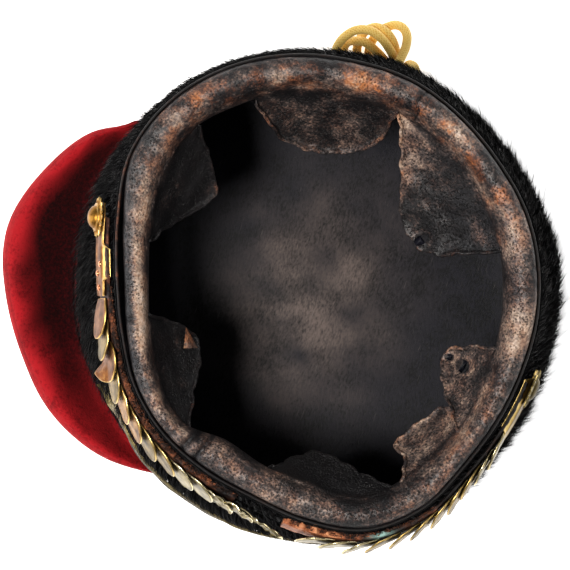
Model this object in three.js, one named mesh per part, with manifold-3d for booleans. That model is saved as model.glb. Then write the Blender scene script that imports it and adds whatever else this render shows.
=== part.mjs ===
// Fur busby standing upside down on its crown, millimetres, +Z up.
// Origin: middle of the flat rest face under the crown. -Y is the front, -X the wearer's left.
import * as THREE from 'three';
import { mergeVertices } from 'three/addons/utils/BufferGeometryUtils.js';
import Module from 'manifold-3d';

const wasm = await Module();
wasm.setup();

// Driving dimensions
const RIM_TOP = 150;
const CLOTH = 2.5;
const GAP = 0.3;
const SHELL_WALL = 1.8;
const CROWN_PLATE = 2.5;
const PELT_GAP = 0.5;
const FUR_AT_RIM = 1.0;
const FUR_DEPTH = 9;
const LOCK_RELIEF = 1.4;
const BINDING_RADIUS = 1.3;
const TONGUE_WALL = 1.8;
const TONGUE_ROOT = 138;
const PUFF = 20;
const STRAP_TOP = 142;
const STRAP_WIDTH = 21;
const STRAP_LEATHER = 1.8;
const STRAP_LEAN = 15;
const SCALE_LENGTH = 19;
const SCALE_WALL = 0.8;
const SCALE_SLOPE = 9;
const BAND_LOW = 58;
const BAND_HIGH = 82;
const BAND_WALL = 1;
const CORD_DIAMETER = 4.6;
const AROUND = 48;

// The plan of the warped hat, a row every 15 degrees counted from the wearer's right towards the
// rear: outer edge of the sweatband roll, inner face of the shell at its mouth, inner edge of the
// roll, and outside of the fur near the crown.
const PLAN = [
  { angle: 0, roll: 94, mouth: 94.4, throat: 81.5, fur: 114 },
  { angle: 15, roll: 95, mouth: 95.4, throat: 81, fur: 115.5 },
  { angle: 30, roll: 96.5, mouth: 96.9, throat: 82, fur: 117 },
  { angle: 45, roll: 98, mouth: 98.4, throat: 84.5, fur: 116 },
  { angle: 60, roll: 99, mouth: 99.4, throat: 87, fur: 116.5 },
  { angle: 75, roll: 102, mouth: 102.4, throat: 89.5, fur: 118 },
  { angle: 90, roll: 106, mouth: 106.4, throat: 92, fur: 120.5 },
  { angle: 105, roll: 108.5, mouth: 108.9, throat: 94.5, fur: 120.5 },
  { angle: 120, roll: 112, mouth: 112.4, throat: 98, fur: 121.5 },
  { angle: 135, roll: 114.5, mouth: 114.9, throat: 98.5, fur: 123 },
  { angle: 150, roll: 115, mouth: 115.4, throat: 100, fur: 123 },
  { angle: 165, roll: 111.5, mouth: 112, throat: 95, fur: 123 },
  { angle: 180, roll: 101, mouth: 103, throat: 88, fur: 122 },
  { angle: 195, roll: 94.5, mouth: 97, throat: 83.5, fur: 120.5 },
  { angle: 210, roll: 94, mouth: 95.4, throat: 83.5, fur: 119 },
  { angle: 225, roll: 96.5, mouth: 97, throat: 86.5, fur: 116.5 },
  { angle: 240, roll: 97, mouth: 97.4, throat: 89, fur: 115.5 },
  { angle: 255, roll: 96, mouth: 96.6, throat: 81, fur: 116 },
  { angle: 270, roll: 96.5, mouth: 97, throat: 83, fur: 116.5 },
  { angle: 285, roll: 101.5, mouth: 101.9, throat: 86.5, fur: 116.5 },
  { angle: 300, roll: 106.5, mouth: 106.9, throat: 93.5, fur: 118 },
  { angle: 315, roll: 104.5, mouth: 104.9, throat: 90.5, fur: 118 },
  { angle: 330, roll: 98, mouth: 98.4, throat: 87.5, fur: 116.5 },
  { angle: 345, roll: 95, mouth: 95.4, throat: 84.5, fur: 114.5 },
];

// Height of each level and how far the fur and the shell have flared there, from mouth to crown
const FLARE = [
  { z: 143, fur: 0, shell: 0 },
  { z: 128, fur: 0.1, shell: 0.12 },
  { z: 114, fur: 0.5, shell: 0.28 },
  { z: 100, fur: 0.76, shell: 0.45 },
  { z: 76, fur: 0.88, shell: 0.65 },
  { z: 46, fur: 0.98, shell: 0.86 },
  { z: 14, fur: 1, shell: 1 },
  { z: CLOTH + 0.7, fur: 0.8, shell: 0.9 },
];

// Outline of the cloth bag's tail on the table, beyond the wearer's left side of the crown
const TAIL = [
  { angle: 150, reach: 119 },
  { angle: 158, reach: 128 },
  { angle: 165, reach: 141 },
  { angle: 175, reach: 150.5 },
  { angle: 185, reach: 158 },
  { angle: 192, reach: 159 },
  { angle: 200, reach: 156 },
  { angle: 212, reach: 150.5 },
  { angle: 222, reach: 146.5 },
  { angle: 230, reach: 141 },
  { angle: 238, reach: 133.5 },
  { angle: 246, reach: 123 },
  { angle: 254, reach: 112 },
];
const POUCH = { from: 158, to: 246 };

// Height of the bag's upper layer from its mouth beside the crown to its outer seam
const PUFF_PROFILE = [
  { share: 0, rise: 0 },
  { share: 0.16, rise: 0.1 },
  { share: 0.34, rise: 0.42 },
  { share: 0.52, rise: 0.78 },
  { share: 0.7, rise: 1 },
  { share: 0.85, rise: 0.9 },
  { share: 0.95, rise: 0.55 },
  { share: 1, rise: -0.1 },
];

// Leather tongues that hang inward from the roll: corner points in plan, root to root, with the
// height that the free edge has dropped to
const TONGUES = [
  { corners: [[36, 86], [49.6, 40.6], [86, 84], [90, 92]], tip: 104 },
  { corners: [[91, 92], [93, 72.5], [124, 71.5], [131, 96]], tip: 106 },
  { corners: [[148, 100], [155, 73], [160, 70], [176, 82], [184, 88]], tip: 104 },
  { corners: [[206, 85], [216, 63], [225, 64], [238, 80], [244, 90]], tip: 106 },
  { corners: [[272, 84], [285, 72], [293, 74], [305, 87], [309, 93]], tip: 108 },
  { corners: [[313, 92], [315.5, 78], [318, 75], [321, 84], [330, 86], [334, 89]], tip: 114 },
  { corners: [[335, 88], [340, 77], [350, 63], [359, 61.5], [364, 82]], tip: 108 },
];

// Lacing holes near the free corners of the tongues
const HOLES = [
  { x: 32.4, y: 41.8, radius: 2.4 },
  { x: 71.4, y: -6.9, radius: 2 },
  { x: 64.8, y: -5, radius: 1.2 },
];

// Chin strap halves: where each starts and ends, and the way that its scales point
const STRAPS = [
  { name: 'left', from: 181, to: 266, way: 1, scales: 13, first: 201, pitch: 5.6 },
  { name: 'right', from: 358, to: 279.5, way: -1, scales: 11, first: 343.5, pitch: 5.05 },
];
const ROSETTE_AT = { left: 181, right: 357 };
const PLATE_SPAN = { left: [178.5, 200], right: [359.5, 344.2] };
// The wide third scale of the left half bends outward along its lower edge
const BENT_SCALE = { strap: 'left', number: 3, width: 27, bend: 6, liftsBefore: 4 };

// Cord loops behind the crown, each a route of points chosen along the visible strands
const CORD_ROUTES = [
  [[-34.1, 117, 7], [-35.2, 121.4, 11], [-33.6, 127.4, 14], [-29.2, 132.6, 15.5],
    [-22.5, 134.7, 16.5], [-16.1, 133.1, 17], [-10.6, 129.9, 15], [-7, 127, 12.5], [-5, 123.8, 10.5]],
  [[-29.6, 118.1, 4.5], [-31.6, 122.3, 3.6], [-31, 126.3, 5], [-27, 128.2, 9], [-22.5, 128.8, 10.5],
    [-16.4, 127, 9.5], [-11.6, 124.9, 7], [-9.3, 121.8, 5]],
  [[-22.5, 119.5, 4.5], [-25.2, 124.8, 3], [-25.7, 130.5, 4], [-24, 135.4, 7], [-20.1, 138, 11],
    [-15, 137.2, 13.5], [-10.1, 134.3, 12], [-6.3, 129.9, 9], [-3.9, 126.6, 6.5], [-2.2, 122.3, 4.5]],
  [[-16.7, 119.9, 4.5], [-19.2, 126, 3], [-19.6, 131.2, 3.2], [-18, 136.7, 4.5], [-15.1, 140.4, 8],
    [-11.7, 142.5, 11], [-7.7, 142.2, 13], [-4.5, 139.2, 14], [-3.1, 134.3, 14.5],
    [-3.2, 129.6, 16.2], [-3.8, 124.7, 18.3]],
  [[0.9, 124.5, 12.3], [2.2, 126.6, 10], [5.4, 126.1, 7], [8.3, 120.4, 5]],
];
const CORD_STEPS = [15, 14, 16, 18, 7];

const radians = THREE.MathUtils.degToRad;

// Smooth value of one column of a table of rows at regular or irregular stations
function curve(rows, key, column, at, period = 0) {
  const last = rows.length - 1;
  const span = (index) => {
    if (!period) return rows[Math.min(Math.max(index, 0), last)];
    return rows[(index + rows.length) % rows.length];
  };
  const station = (index) => {
    if (!period) return span(index)[key];
    return span(index)[key] + Math.floor(index / rows.length) * period;
  };
  let place = at;
  if (period) place = ((at - rows[0][key]) % period + period) % period + rows[0][key];
  let low = 0;
  while (low < last - (period ? 0 : 1) && station(low + 1) <= place) low += 1;
  const width = station(low + 1) - station(low);
  const t = Math.min(Math.max((place - station(low)) / width, 0), 1);
  const [a, b, c, d] = [-1, 0, 1, 2].map((step) => span(low + step)[column]);
  const bend = (c - a + t * (2 * a - 5 * b + 4 * c - d + t * (3 * (b - c) + d - a)));
  return b + 0.5 * t * bend;
}

const plan = (column, angle) => curve(PLAN, 'angle', column, angle, 360);
const tailReach = (angle) => curve(TAIL, 'angle', 'reach', angle);

function polar(angle, radius, z) {
  return [radius * Math.cos(radians(angle)), radius * Math.sin(radians(angle)), z];
}

// A closed body from cross sections, each the same number of points round its outline. The row of
// sections closes on itself or is capped at both ends.
function loft(sections, closed) {
  const count = sections[0].length;
  const points = sections.flat(2);
  const faces = [];
  const rows = closed ? sections.length : sections.length - 1;
  for (let row = 0; row < rows; row += 1) {
    for (let column = 0; column < count; column += 1) {
      const next = (row + 1) % sections.length;
      const beside = (column + 1) % count;
      const [a, b] = [row * count + column, row * count + beside];
      const [c, d] = [next * count + column, next * count + beside];
      faces.push([a, b, d], [a, d, c]);
    }
  }
  if (!closed) {
    const half = Math.floor(count / 2);
    const lastRow = (sections.length - 1) * count;
    for (let column = 0; column < half - 1; column += 1) {
      const far = count - 1 - column;
      for (const [start, flip] of [[0, true], [lastRow, false]]) {
        const quad = [column, column + 1, far - 1, far].map((index) => start + index);
        if (flip) quad.reverse();
        faces.push([quad[0], quad[1], quad[2]], [quad[0], quad[2], quad[3]]);
      }
    }
  }
  return closedBody(points, faces);
}

// Welds the points, drops faces without area and turns the body's faces outward
function closedBody(points, faces) {
  const rough = new THREE.BufferGeometry();
  rough.setAttribute('position', new THREE.Float32BufferAttribute(points, 3));
  rough.setIndex(faces.flat());
  const welded = mergeVertices(rough, 1e-3);
  const index = welded.index.array;
  const kept = [];
  for (let at = 0; at < index.length; at += 3) {
    const [a, b, c] = [index[at], index[at + 1], index[at + 2]];
    if (a !== b && b !== c && c !== a) kept.push([a, b, c]);
  }
  const place = welded.attributes.position;
  const [p, q, r] = [new THREE.Vector3(), new THREE.Vector3(), new THREE.Vector3()];
  let volume = 0;
  for (const [a, b, c] of kept) {
    p.fromBufferAttribute(place, a);
    q.fromBufferAttribute(place, b);
    r.fromBufferAttribute(place, c);
    volume += p.dot(q.cross(r));
  }
  welded.setIndex((volume < 0 ? kept.map(([a, b, c]) => [a, c, b]) : kept).flat());
  return welded;
}

function toSolid(geometry) {
  const bare = geometry.clone();
  bare.deleteAttribute('normal');
  bare.deleteAttribute('uv');
  const welded = mergeVertices(bare, 1e-4);
  return new wasm.Manifold(new wasm.Mesh({
    numProp: 3,
    vertProperties: new Float32Array(welded.attributes.position.array),
    triVerts: new Uint32Array(welded.index.array),
  }));
}

function fromSolid(solid) {
  const mesh = solid.getMesh();
  const geometry = new THREE.BufferGeometry();
  geometry.setAttribute('position', new THREE.BufferAttribute(mesh.vertProperties, 3));
  geometry.setIndex(new THREE.BufferAttribute(mesh.triVerts, 1));
  return geometry;
}

const around = (count) => Array.from({ length: count }, (_, step) => (step * 360) / count);
const between = (from, to, steps) => Array.from(
  { length: steps + 1 },
  (_, step) => from + ((to - from) * step) / steps,
);

// Radii of the shell and the fur at one level
function shellOuter(angle, level) {
  const mouth = plan('mouth', angle) + SHELL_WALL;
  return mouth + (plan('fur', angle) - FUR_DEPTH - mouth) * level.shell;
}

function furOuter(angle, level) {
  const mouth = plan('mouth', angle) + SHELL_WALL + PELT_GAP + FUR_AT_RIM;
  return mouth + (plan('fur', angle) - mouth) * level.fur;
}

// Stiff leather wall of the cup, flaring towards the crown
function shellWall() {
  const sections = around(AROUND).map((angle) => {
    const outside = FLARE.map((level) => polar(angle, shellOuter(angle, level), level.z));
    const inside = FLARE.map((level) => (
      polar(angle, shellOuter(angle, level) - SHELL_WALL, level.z)));
    return [...outside, ...inside.reverse()];
  });
  return loft(sections, true);
}

// Flat leather disc set in at the foot of the wall
function crownDisc() {
  const foot = FLARE[FLARE.length - 1];
  const sections = around(AROUND).map((angle) => {
    const edge = shellOuter(angle, foot) - SHELL_WALL - GAP;
    return [[0, 0, foot.z], polar(angle, edge, foot.z), polar(angle, edge, foot.z + CROWN_PLATE),
      [0, 0, foot.z + CROWN_PLATE]];
  });
  return loft(sections, true);
}

// Fur pelt round the wall, its outside raised in slanting rows of locks
function furCover() {
  const sections = around(AROUND).map((angle, step) => {
    const outside = FLARE.map((level, row) => {
      const lock = ((step + 2 * row) % 4) / 1.5 - 1;
      const fade = row === FLARE.length - 1 ? 0 : Math.min(level.fur * 1.4, 1);
      const relief = LOCK_RELIEF * lock * fade;
      return polar(angle, furOuter(angle, level) + relief, level.z);
    });
    const inside = FLARE.map((level) => polar(angle, shellOuter(angle, level) + PELT_GAP, level.z));
    return [...outside, ...inside.reverse()];
  });
  return loft(sections, true);
}

// Leather binding rolled over the shell's edge
function rimBinding() {
  const sides = 6;
  const sections = around(AROUND).map((angle) => {
    const middle = plan('mouth', angle) + SHELL_WALL / 2 + 0.6;
    return around(sides).map((turn) => polar(
      angle,
      middle + BINDING_RADIUS * Math.cos(radians(turn)),
      FLARE[0].z + GAP + BINDING_RADIUS * (1 + Math.sin(radians(turn))),
    ));
  });
  return loft(sections, true);
}

// Padded sweatband roll: crest near its outer edge, then a slope down into the head opening
function sweatbandRoll() {
  const sections = around(AROUND).map((angle) => {
    const out = plan('roll', angle);
    const inner = plan('throat', angle);
    const rows = [
      [out - 0.3, -10], [out - 0.5, -3.2], [out - 2.6, -0.6], [out - 5.4, 0], [out - 9, -3],
      [inner + 1.2, -9], [inner, -14], [inner + 1, -20], [inner + 3.6, -20.5], [out - 5, -12.5],
    ];
    return rows.map(([radius, drop]) => polar(angle, radius, RIM_TOP + drop));
  });
  return loft(sections, true);
}

// Distance along a ray at the given angle to the tongue's outline in plan
function tongueReach(corners, angle) {
  const flat = corners.map(([turn, radius]) => polar(turn, radius, 0));
  let edge = 0;
  while (edge < corners.length - 2 && corners[edge + 1][0] < angle) edge += 1;
  const [[ax, ay], [bx, by]] = [flat[edge], flat[edge + 1]];
  const [dx, dy] = [Math.cos(radians(angle)), Math.sin(radians(angle))];
  const cross = (bx - ax) * dy - (by - ay) * dx;
  return Math.abs(((bx - ax) * ay - (by - ay) * ax) / cross);
}

// Inner face of the roll along a ray, on the straight stretch between two of its sections
function throatFace(angle) {
  const step = 360 / AROUND;
  const turn = Math.floor(angle / step) * step;
  return tongueReach([turn, turn + step].map((at) => [at, plan('throat', at)]), angle);
}

// One tongue: a bent sheet from the roll's inner face to its cut outline, with its lacing holes
function tongue({ corners, tip }) {
  const [start, end] = [corners[0][0] + 0.5, corners[corners.length - 1][0] - 0.5];
  const shortest = Math.min(...corners.map(([, radius]) => radius));
  const stations = around(AROUND).concat(360).filter((turn) => turn > start && turn < end);
  const inner = corners.slice(1, -1).map(([turn]) => turn);
  const angles = [...new Set([start, end, ...stations, ...inner])];
  const sections = angles.sort((a, b) => a - b).map((angle) => {
    const hold = throatFace(angle) - GAP - 0.1;
    const reach = Math.min(tongueReach(corners, angle), hold - 1.5);
    const top = between(0, 1, 3).map((share) => {
      const radius = hold + (reach - hold) * share;
      const fallen = (hold - radius) / (hold - shortest);
      return [radius, TONGUE_ROOT - (TONGUE_ROOT - tip) * fallen ** 0.8];
    });
    const under = top.map(([radius, z]) => [radius, z - TONGUE_WALL]).reverse();
    return [...top, ...under].map(([radius, z]) => polar(angle, radius, z));
  });
  let solid = toSolid(loft(sections, false));
  for (const { x, y, radius } of HOLES) {
    const punch = new THREE.CylinderGeometry(radius, radius, 30, 10);
    punch.rotateX(Math.PI / 2);
    punch.translate(x, y, 110);
    solid = solid.subtract(toSolid(punch));
  }
  return fromSolid(solid);
}

// Cloth bag: flat layer under crown and tail, and the puffed upper layer of the tail, open towards
// the crown where it is sewn on
function bag() {
  const seam = (angle) => Math.max(tailReach(angle) - 1.5, plan('fur', angle) - 5);
  const floor = around(AROUND).map((angle) => {
    const edge = seam(angle);
    return [[0, 0, 0], polar(angle, edge - 1, 0), polar(angle, edge, 0.8),
      polar(angle, edge, CLOTH - 0.5), polar(angle, edge - 0.6, CLOTH), [0, 0, CLOTH]];
  });
  const upper = between(POUCH.from, POUCH.to, 18).map((angle) => {
    const mouth = plan('fur', angle) + 1.6;
    const middle = (angle - POUCH.from) / (POUCH.to - POUCH.from);
    const height = PUFF * Math.min(1, 0.32 + 1.5 * Math.sin(Math.PI * middle) ** 0.8);
    const low = CLOTH + GAP + CLOTH;
    const line = PUFF_PROFILE.map(({ share, rise }) => [
      mouth + (tailReach(angle) - mouth) * share,
      low + (height - low) * rise - (share === 1 ? 2 : 0),
    ]);
    const under = line.map(([radius, z], at) => {
      const [before, after] = [line[Math.max(at - 1, 0)], line[Math.min(at + 1, line.length - 1)]];
      const [run, climb] = [after[0] - before[0], after[1] - before[1]];
      const length = Math.hypot(run, climb);
      return [radius + (climb / length) * CLOTH * 0.9, z - (run / length) * CLOTH * 0.9];
    });
    const outline = [...line, ...under.reverse()];
    return outline.map(([radius, z]) => polar(angle, radius, Math.max(z, 0.6)));
  });
  return fromSolid(toSolid(loft(floor, true)).add(toSolid(loft(upper, false))));
}

// Brass scroll across the front of the fur, its wearer's left end folded back into a point
function bandeau() {
  const level = (z) => ({ fur: curve([...FLARE].reverse(), 'z', 'fur', z) });
  const sections = between(225, 314, 30).map((angle) => {
    const end = Math.min(angle - 225, 314 - angle) / 6;
    const trim = Math.max(1 - end, 0) * 8;
    const swing = Math.max(1 - end, 0) ** 2 * 2;
    const rows = [[BAND_HIGH - trim, 0], [BAND_LOW + trim, 0]];
    const inner = rows.map(([z]) => [furOuter(angle, level(z)) + LOCK_RELIEF + 0.35 + swing, z]);
    const outer = inner.map(([radius, z]) => [radius + BAND_WALL, z]).reverse();
    return [...inner, ...outer].map(([radius, z]) => polar(angle, radius, z));
  });
  return loft(sections, false);
}

// Radius of the strap's top edge, on its inner face
const strapHug = (angle) => plan('mouth', angle) + SHELL_WALL + PELT_GAP + FUR_AT_RIM + 0.9;

// Leaned band section between two depths below the strap's top edge: inner face, then outer face
function leaned(angle, high, low, offset, thickness) {
  const lean = radians(STRAP_LEAN);
  const face = (depth, away) => polar(
    angle,
    strapHug(angle) + depth * Math.sin(lean) + away * Math.cos(lean),
    STRAP_TOP - depth * Math.cos(lean) + away * Math.sin(lean),
  );
  const far = offset + thickness;
  return [face(high, offset), face(low, offset), face(low, far), face(high, far)];
}

function strapLeather({ from, to }) {
  const sections = between(from, to, 22).map((angle) => leaned(
    angle,
    1.5,
    STRAP_WIDTH - 1.5,
    0,
    STRAP_LEATHER,
  ));
  return loft(sections, false);
}

// Local frame on the strap's outer face: x towards the scale's free end, z away from the hat
function strapFrame(angle, way, depth, away) {
  const lean = radians(STRAP_LEAN);
  const here = new THREE.Vector3(...polar(angle, strapHug(angle), 0));
  const ahead = new THREE.Vector3(...polar(angle + way * 4, strapHug(angle + way * 4), 0));
  const along = ahead.sub(here).normalize();
  const out = new THREE.Vector3().crossVectors(along, new THREE.Vector3(0, 0, way));
  out.multiplyScalar(Math.cos(lean)).add(new THREE.Vector3(0, 0, Math.sin(lean))).normalize();
  const side = new THREE.Vector3().crossVectors(out, along);
  const matrix = new THREE.Matrix4().makeBasis(along, side, out);
  const place = new THREE.Vector3(...polar(angle, strapHug(angle) + depth * Math.sin(lean), 0));
  place.z = STRAP_TOP - depth * Math.cos(lean);
  place.addScaledVector(out, away);
  matrix.setPosition(place);
  return matrix;
}

// One scale: square root, rounded free end, standing off towards the free end
function scale(strap, number) {
  const bent = strap.name === BENT_SCALE.strap && number === BENT_SCALE.number;
  const closing = strap.name === 'left' && number === strap.scales;
  const width = bent ? BENT_SCALE.width : STRAP_WIDTH;
  const half = (closing ? width * 0.6 : width) / 2;
  const length = closing ? SCALE_LENGTH + 6 : SCALE_LENGTH;
  const round = 10;
  const outline = new THREE.Shape();
  outline.moveTo(0, -STRAP_WIDTH * 0.36);
  outline.lineTo(length - round - 3, -half);
  outline.absellipse(length - round, 0, round, half, -Math.PI / 2, Math.PI / 2, false, 0);
  outline.lineTo(length - round - 3, half);
  outline.lineTo(0, STRAP_WIDTH * 0.36);
  const extrusion = { depth: SCALE_WALL, bevelEnabled: false, curveSegments: 4 };
  const plate = new THREE.ExtrudeGeometry(outline, extrusion);
  if (bent) {
    const place = plate.attributes.position;
    for (let at = 0; at < place.count; at += 1) {
      const [x, y] = [place.getX(at), place.getY(at)];
      const lower = Math.max(-y * strap.way, 0) / half;
      const beyond = Math.max(x - 9.5, 0) / (length - 9.5);
      place.setZ(at, place.getZ(at) + BENT_SCALE.bend * lower * Math.min(beyond * 2, 1));
    }
  }
  const lifted = strap.name === BENT_SCALE.strap && number < BENT_SCALE.number;
  const slope = SCALE_SLOPE + (lifted ? BENT_SCALE.liftsBefore : 0);
  plate.applyMatrix4(new THREE.Matrix4().makeRotationY(-radians(slope)));
  const angle = strap.first + strap.way * strap.pitch * (number - 1);
  plate.applyMatrix4(strapFrame(angle, strap.way, STRAP_WIDTH / 2 - 0.5, STRAP_LEATHER + 0.35));
  return plate;
}

// Long brass plate between the rosette and the first scale, holed for the rosette's shank
function endPlate(strap) {
  const [from, to] = PLATE_SPAN[strap.name];
  const sections = between(from, to, 9).map((angle, step, all) => {
    const end = Math.min(step, all.length - 1 - step);
    const trim = [4.5, 1.5][end] ?? 0;
    return leaned(angle, 2 + trim, 17 - trim, STRAP_LEATHER + 0.4, 1);
  });
  const punch = new THREE.CylinderGeometry(2.6, 2.6, 12, 12);
  punch.rotateX(Math.PI / 2);
  punch.applyMatrix4(strapFrame(ROSETTE_AT[strap.name], strap.way, 9, STRAP_LEATHER));
  return fromSolid(toSolid(loft(sections, false)).subtract(toSolid(punch)));
}

// Rosette: star washer, domed boss and short shank through the end plate
function rosette(strap) {
  const star = new THREE.Shape();
  const points = 16;
  for (let point = 0; point < points; point += 1) {
    const radius = point % 2 ? 7.6 : 9.6;
    const turn = (point * Math.PI * 2) / points;
    star[point ? 'lineTo' : 'moveTo'](radius * Math.cos(turn), radius * Math.sin(turn));
  }
  const washer = new THREE.ExtrudeGeometry(star, { depth: 1, bevelEnabled: false });
  const profile = [[0, -1.4], [2, -1.4], [2, 0.2], [6.2, 0.2], [6, 2.4], [4.6, 4.2], [2.4, 5.2], [0, 5.5]];
  const boss = new THREE.LatheGeometry(profile.map(([x, y]) => new THREE.Vector2(x, y)), 14);
  boss.rotateX(Math.PI / 2);
  const joined = fromSolid(toSolid(washer).add(toSolid(boss)));
  return joined.applyMatrix4(strapFrame(ROSETTE_AT[strap.name], strap.way, 9, STRAP_LEATHER + 3.2));
}

function cordLoop(route, steps) {
  const path = new THREE.CatmullRomCurve3(route.map((point) => new THREE.Vector3(...point)));
  const round = new THREE.Shape();
  round.absarc(0, 0, CORD_DIAMETER / 2, 0, Math.PI * 2, false);
  const sweep = { extrudePath: path, steps, curveSegments: 4, bevelEnabled: false };
  return new THREE.ExtrudeGeometry(round, sweep);
}

const FINISH = {
  leather: { color: 0x3a3234, roughness: 0.5, metalness: 0 },
  innerLeather: { color: 0x2b292c, roughness: 0.4, metalness: 0 },
  strapLeather: { color: 0x7d4a2e, roughness: 0.7, metalness: 0 },
  fur: { color: 0x15141a, roughness: 0.9, metalness: 0 },
  cloth: { color: 0xc4202a, roughness: 0.95, metalness: 0 },
  brass: { color: 0xb08d45, roughness: 0.35, metalness: 1 },
  cord: { color: 0xd9a93a, roughness: 0.8, metalness: 0 },
};

const busby = new THREE.Group();

function addPiece(name, geometry, finish) {
  const bare = geometry.index ? geometry : mergeVertices(geometry, 1e-4);
  const mesh = new THREE.Mesh(bare, new THREE.MeshStandardMaterial(FINISH[finish]));
  mesh.name = name;
  busby.add(mesh);
}

addPiece('shell', shellWall(), 'innerLeather');
addPiece('crown_disc', crownDisc(), 'innerLeather');
addPiece('fur_cover', furCover(), 'fur');
addPiece('bag', bag(), 'cloth');
addPiece('rim_binding', rimBinding(), 'leather');
addPiece('sweatband', sweatbandRoll(), 'leather');
TONGUES.forEach((row, at) => addPiece(`tongue_${at + 1}`, tongue(row), 'leather'));
addPiece('bandeau', bandeau(), 'brass');
for (const strap of STRAPS) {
  addPiece(`${strap.name}_strap_leather`, strapLeather(strap), 'strapLeather');
  addPiece(`${strap.name}_end_plate`, endPlate(strap), 'brass');
  addPiece(`${strap.name}_rosette`, rosette(strap), 'brass');
  for (let number = 1; number <= strap.scales; number += 1) {
    const label = String(number).padStart(2, '0');
    addPiece(`${strap.name}_scale_${label}`, scale(strap, number), 'brass');
  }
}
CORD_ROUTES.forEach((route, at) => {
  addPiece(`cord_loop_${at + 1}`, cordLoop(route, CORD_STEPS[at]), 'cord');
});

export default busby;
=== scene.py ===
"""Old fur busby standing upside down on its crown, seen into its head opening.

Tables and shape functions are in millimetres and degrees, and meshes are written in metres. +Z is
up out of the head opening, -Y the hat's front, -X the wearer's left, where the cloth bag lies.
"""

import bmesh
import bpy
import numpy as np
from mathutils import Matrix


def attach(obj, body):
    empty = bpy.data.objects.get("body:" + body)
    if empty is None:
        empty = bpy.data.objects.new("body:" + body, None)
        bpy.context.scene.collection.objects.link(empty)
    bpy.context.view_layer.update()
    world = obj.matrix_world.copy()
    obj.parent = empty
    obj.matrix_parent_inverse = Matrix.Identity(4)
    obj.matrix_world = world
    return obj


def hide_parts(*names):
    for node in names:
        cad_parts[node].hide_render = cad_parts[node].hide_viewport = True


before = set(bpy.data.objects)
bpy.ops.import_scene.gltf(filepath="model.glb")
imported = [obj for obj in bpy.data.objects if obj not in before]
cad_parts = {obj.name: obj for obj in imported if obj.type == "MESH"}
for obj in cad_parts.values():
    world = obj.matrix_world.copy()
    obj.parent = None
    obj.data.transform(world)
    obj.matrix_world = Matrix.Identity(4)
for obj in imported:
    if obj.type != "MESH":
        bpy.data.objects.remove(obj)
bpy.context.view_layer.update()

MM = 0.001

# Plan of the warped hat, a value every 15 degrees from the wearer's right towards the rear
PLAN = {
    "roll": [94, 95, 96.5, 98, 99, 102, 106, 108.5, 112, 114.5, 115, 111.5,
             101, 94.5, 94, 96.5, 97, 96, 96.5, 101.5, 106.5, 104.5, 98, 95],
    "mouth": [94.4, 95.4, 96.9, 98.4, 99.4, 102.4, 106.4, 108.9, 112.4, 114.9, 115.4, 112,
              103, 97, 95.4, 97, 97.4, 96.6, 97, 101.9, 106.9, 104.9, 98.4, 95.4],
    "throat": [81.5, 81, 82, 84.5, 87, 89.5, 92, 94.5, 98, 98.5, 100, 95,
               88, 83.5, 83.5, 86.5, 89, 81, 83, 86.5, 93.5, 90.5, 87.5, 84.5],
    "fur": [114, 115.5, 117, 116, 116.5, 118, 120.5, 120.5, 121.5, 123, 123, 123,
            122, 120.5, 119, 116.5, 115.5, 116, 116.5, 116.5, 118, 118, 116.5, 114.5],
}
RIM_TOP = 150
SHELL_WALL = 1.8
CROWN_FLOOR = 5.7
PELT_EDGE = 1.5
FUR_DEPTH = 9
CLOTH = 2.5
TONGUE_WALL = 1.8
STRAP_TOP = 142
STRAP_WIDTH = 21
STRAP_LEATHER = 1.8
SCALE_LENGTH = 19
SCALE_WALL = 0.8
SCALE_ROUND = 10
STAR_POINTS, STAR_RADIUS = 16, 8.5
BAND_LOW, BAND_MIDDLE, BAND_HIGH = 58, 70, 82
BAND_SPAN = (222, 314)
CORD_DIAMETER = 4.6

# Heights from crown to mouth, with the share of their flare that fur and shell have there
LEVELS = [3.2, 14, 46, 76, 100, 114, 128, 143]
FLARE = {"fur": [0.8, 1, 0.98, 0.88, 0.76, 0.5, 0.1, 0],
         "shell": [0.9, 1, 0.86, 0.65, 0.45, 0.28, 0.12, 0]}

# Section of the padded sweatband roll: share of the way from roll to throat, drop below the top
ROLL_SECTION = [(0, 10), (-0.03, 4.2), (0.1, 1.2), (0.44, 0), (0.74, 2.6), (0.93, 8.6), (1, 14),
                (0.93, 20), (0.75, 20.5), (0.38, 12.5)]

# Where tongues start on that section and where they leave it, in knots
TONGUE_ROOT = (4.2, 5.8)

# Where the rubbed crest lies round the hat, as a share of the way from roll to throat
CREST = [(0, 0.5), (35, 0.54), (85, 0.5), (122, 0.46), (160, 0.56), (187, 0.64), (225, 0.56),
         (250, 0.46), (285, 0.36), (320, 0.42), (360, 0.5)]

# Tongues: plan corners as angle and radius, and the height of the free edge
TONGUES = [
    ([[36, 86], [49.6, 40.6], [86, 84], [90, 92]], 104),
    ([[91, 92], [93, 72.5], [124, 71.5], [131, 96]], 106),
    ([[148, 100], [155, 73], [160, 70], [176, 82], [184, 88]], 104),
    ([[206, 85], [216, 63], [225, 64], [238, 80], [244, 90]], 106),
    ([[272, 84], [285, 72], [293, 74], [305, 87], [309, 93]], 108),
    ([[312.5, 93], [315, 88], [318, 83.5], [317.2, 79], [315.8, 76.8], [317, 74.5], [322, 74],
      [330, 74], [338, 74.5], [343, 86]], 113),
    ([[335, 88], [340, 77], [350, 63], [359, 61.5], [364, 82]], 108),
]
# Punched or torn holes: tongue, middle x and y, half axes, turn of the long one
HOLES = [(1, 32.4, 41.8, 3.7, 2.1, 51), (7, 71.4, -6.9, 3.1, 2.4, 100), (7, 64.8, -5, 1.5, 1.4, 0)]
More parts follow.
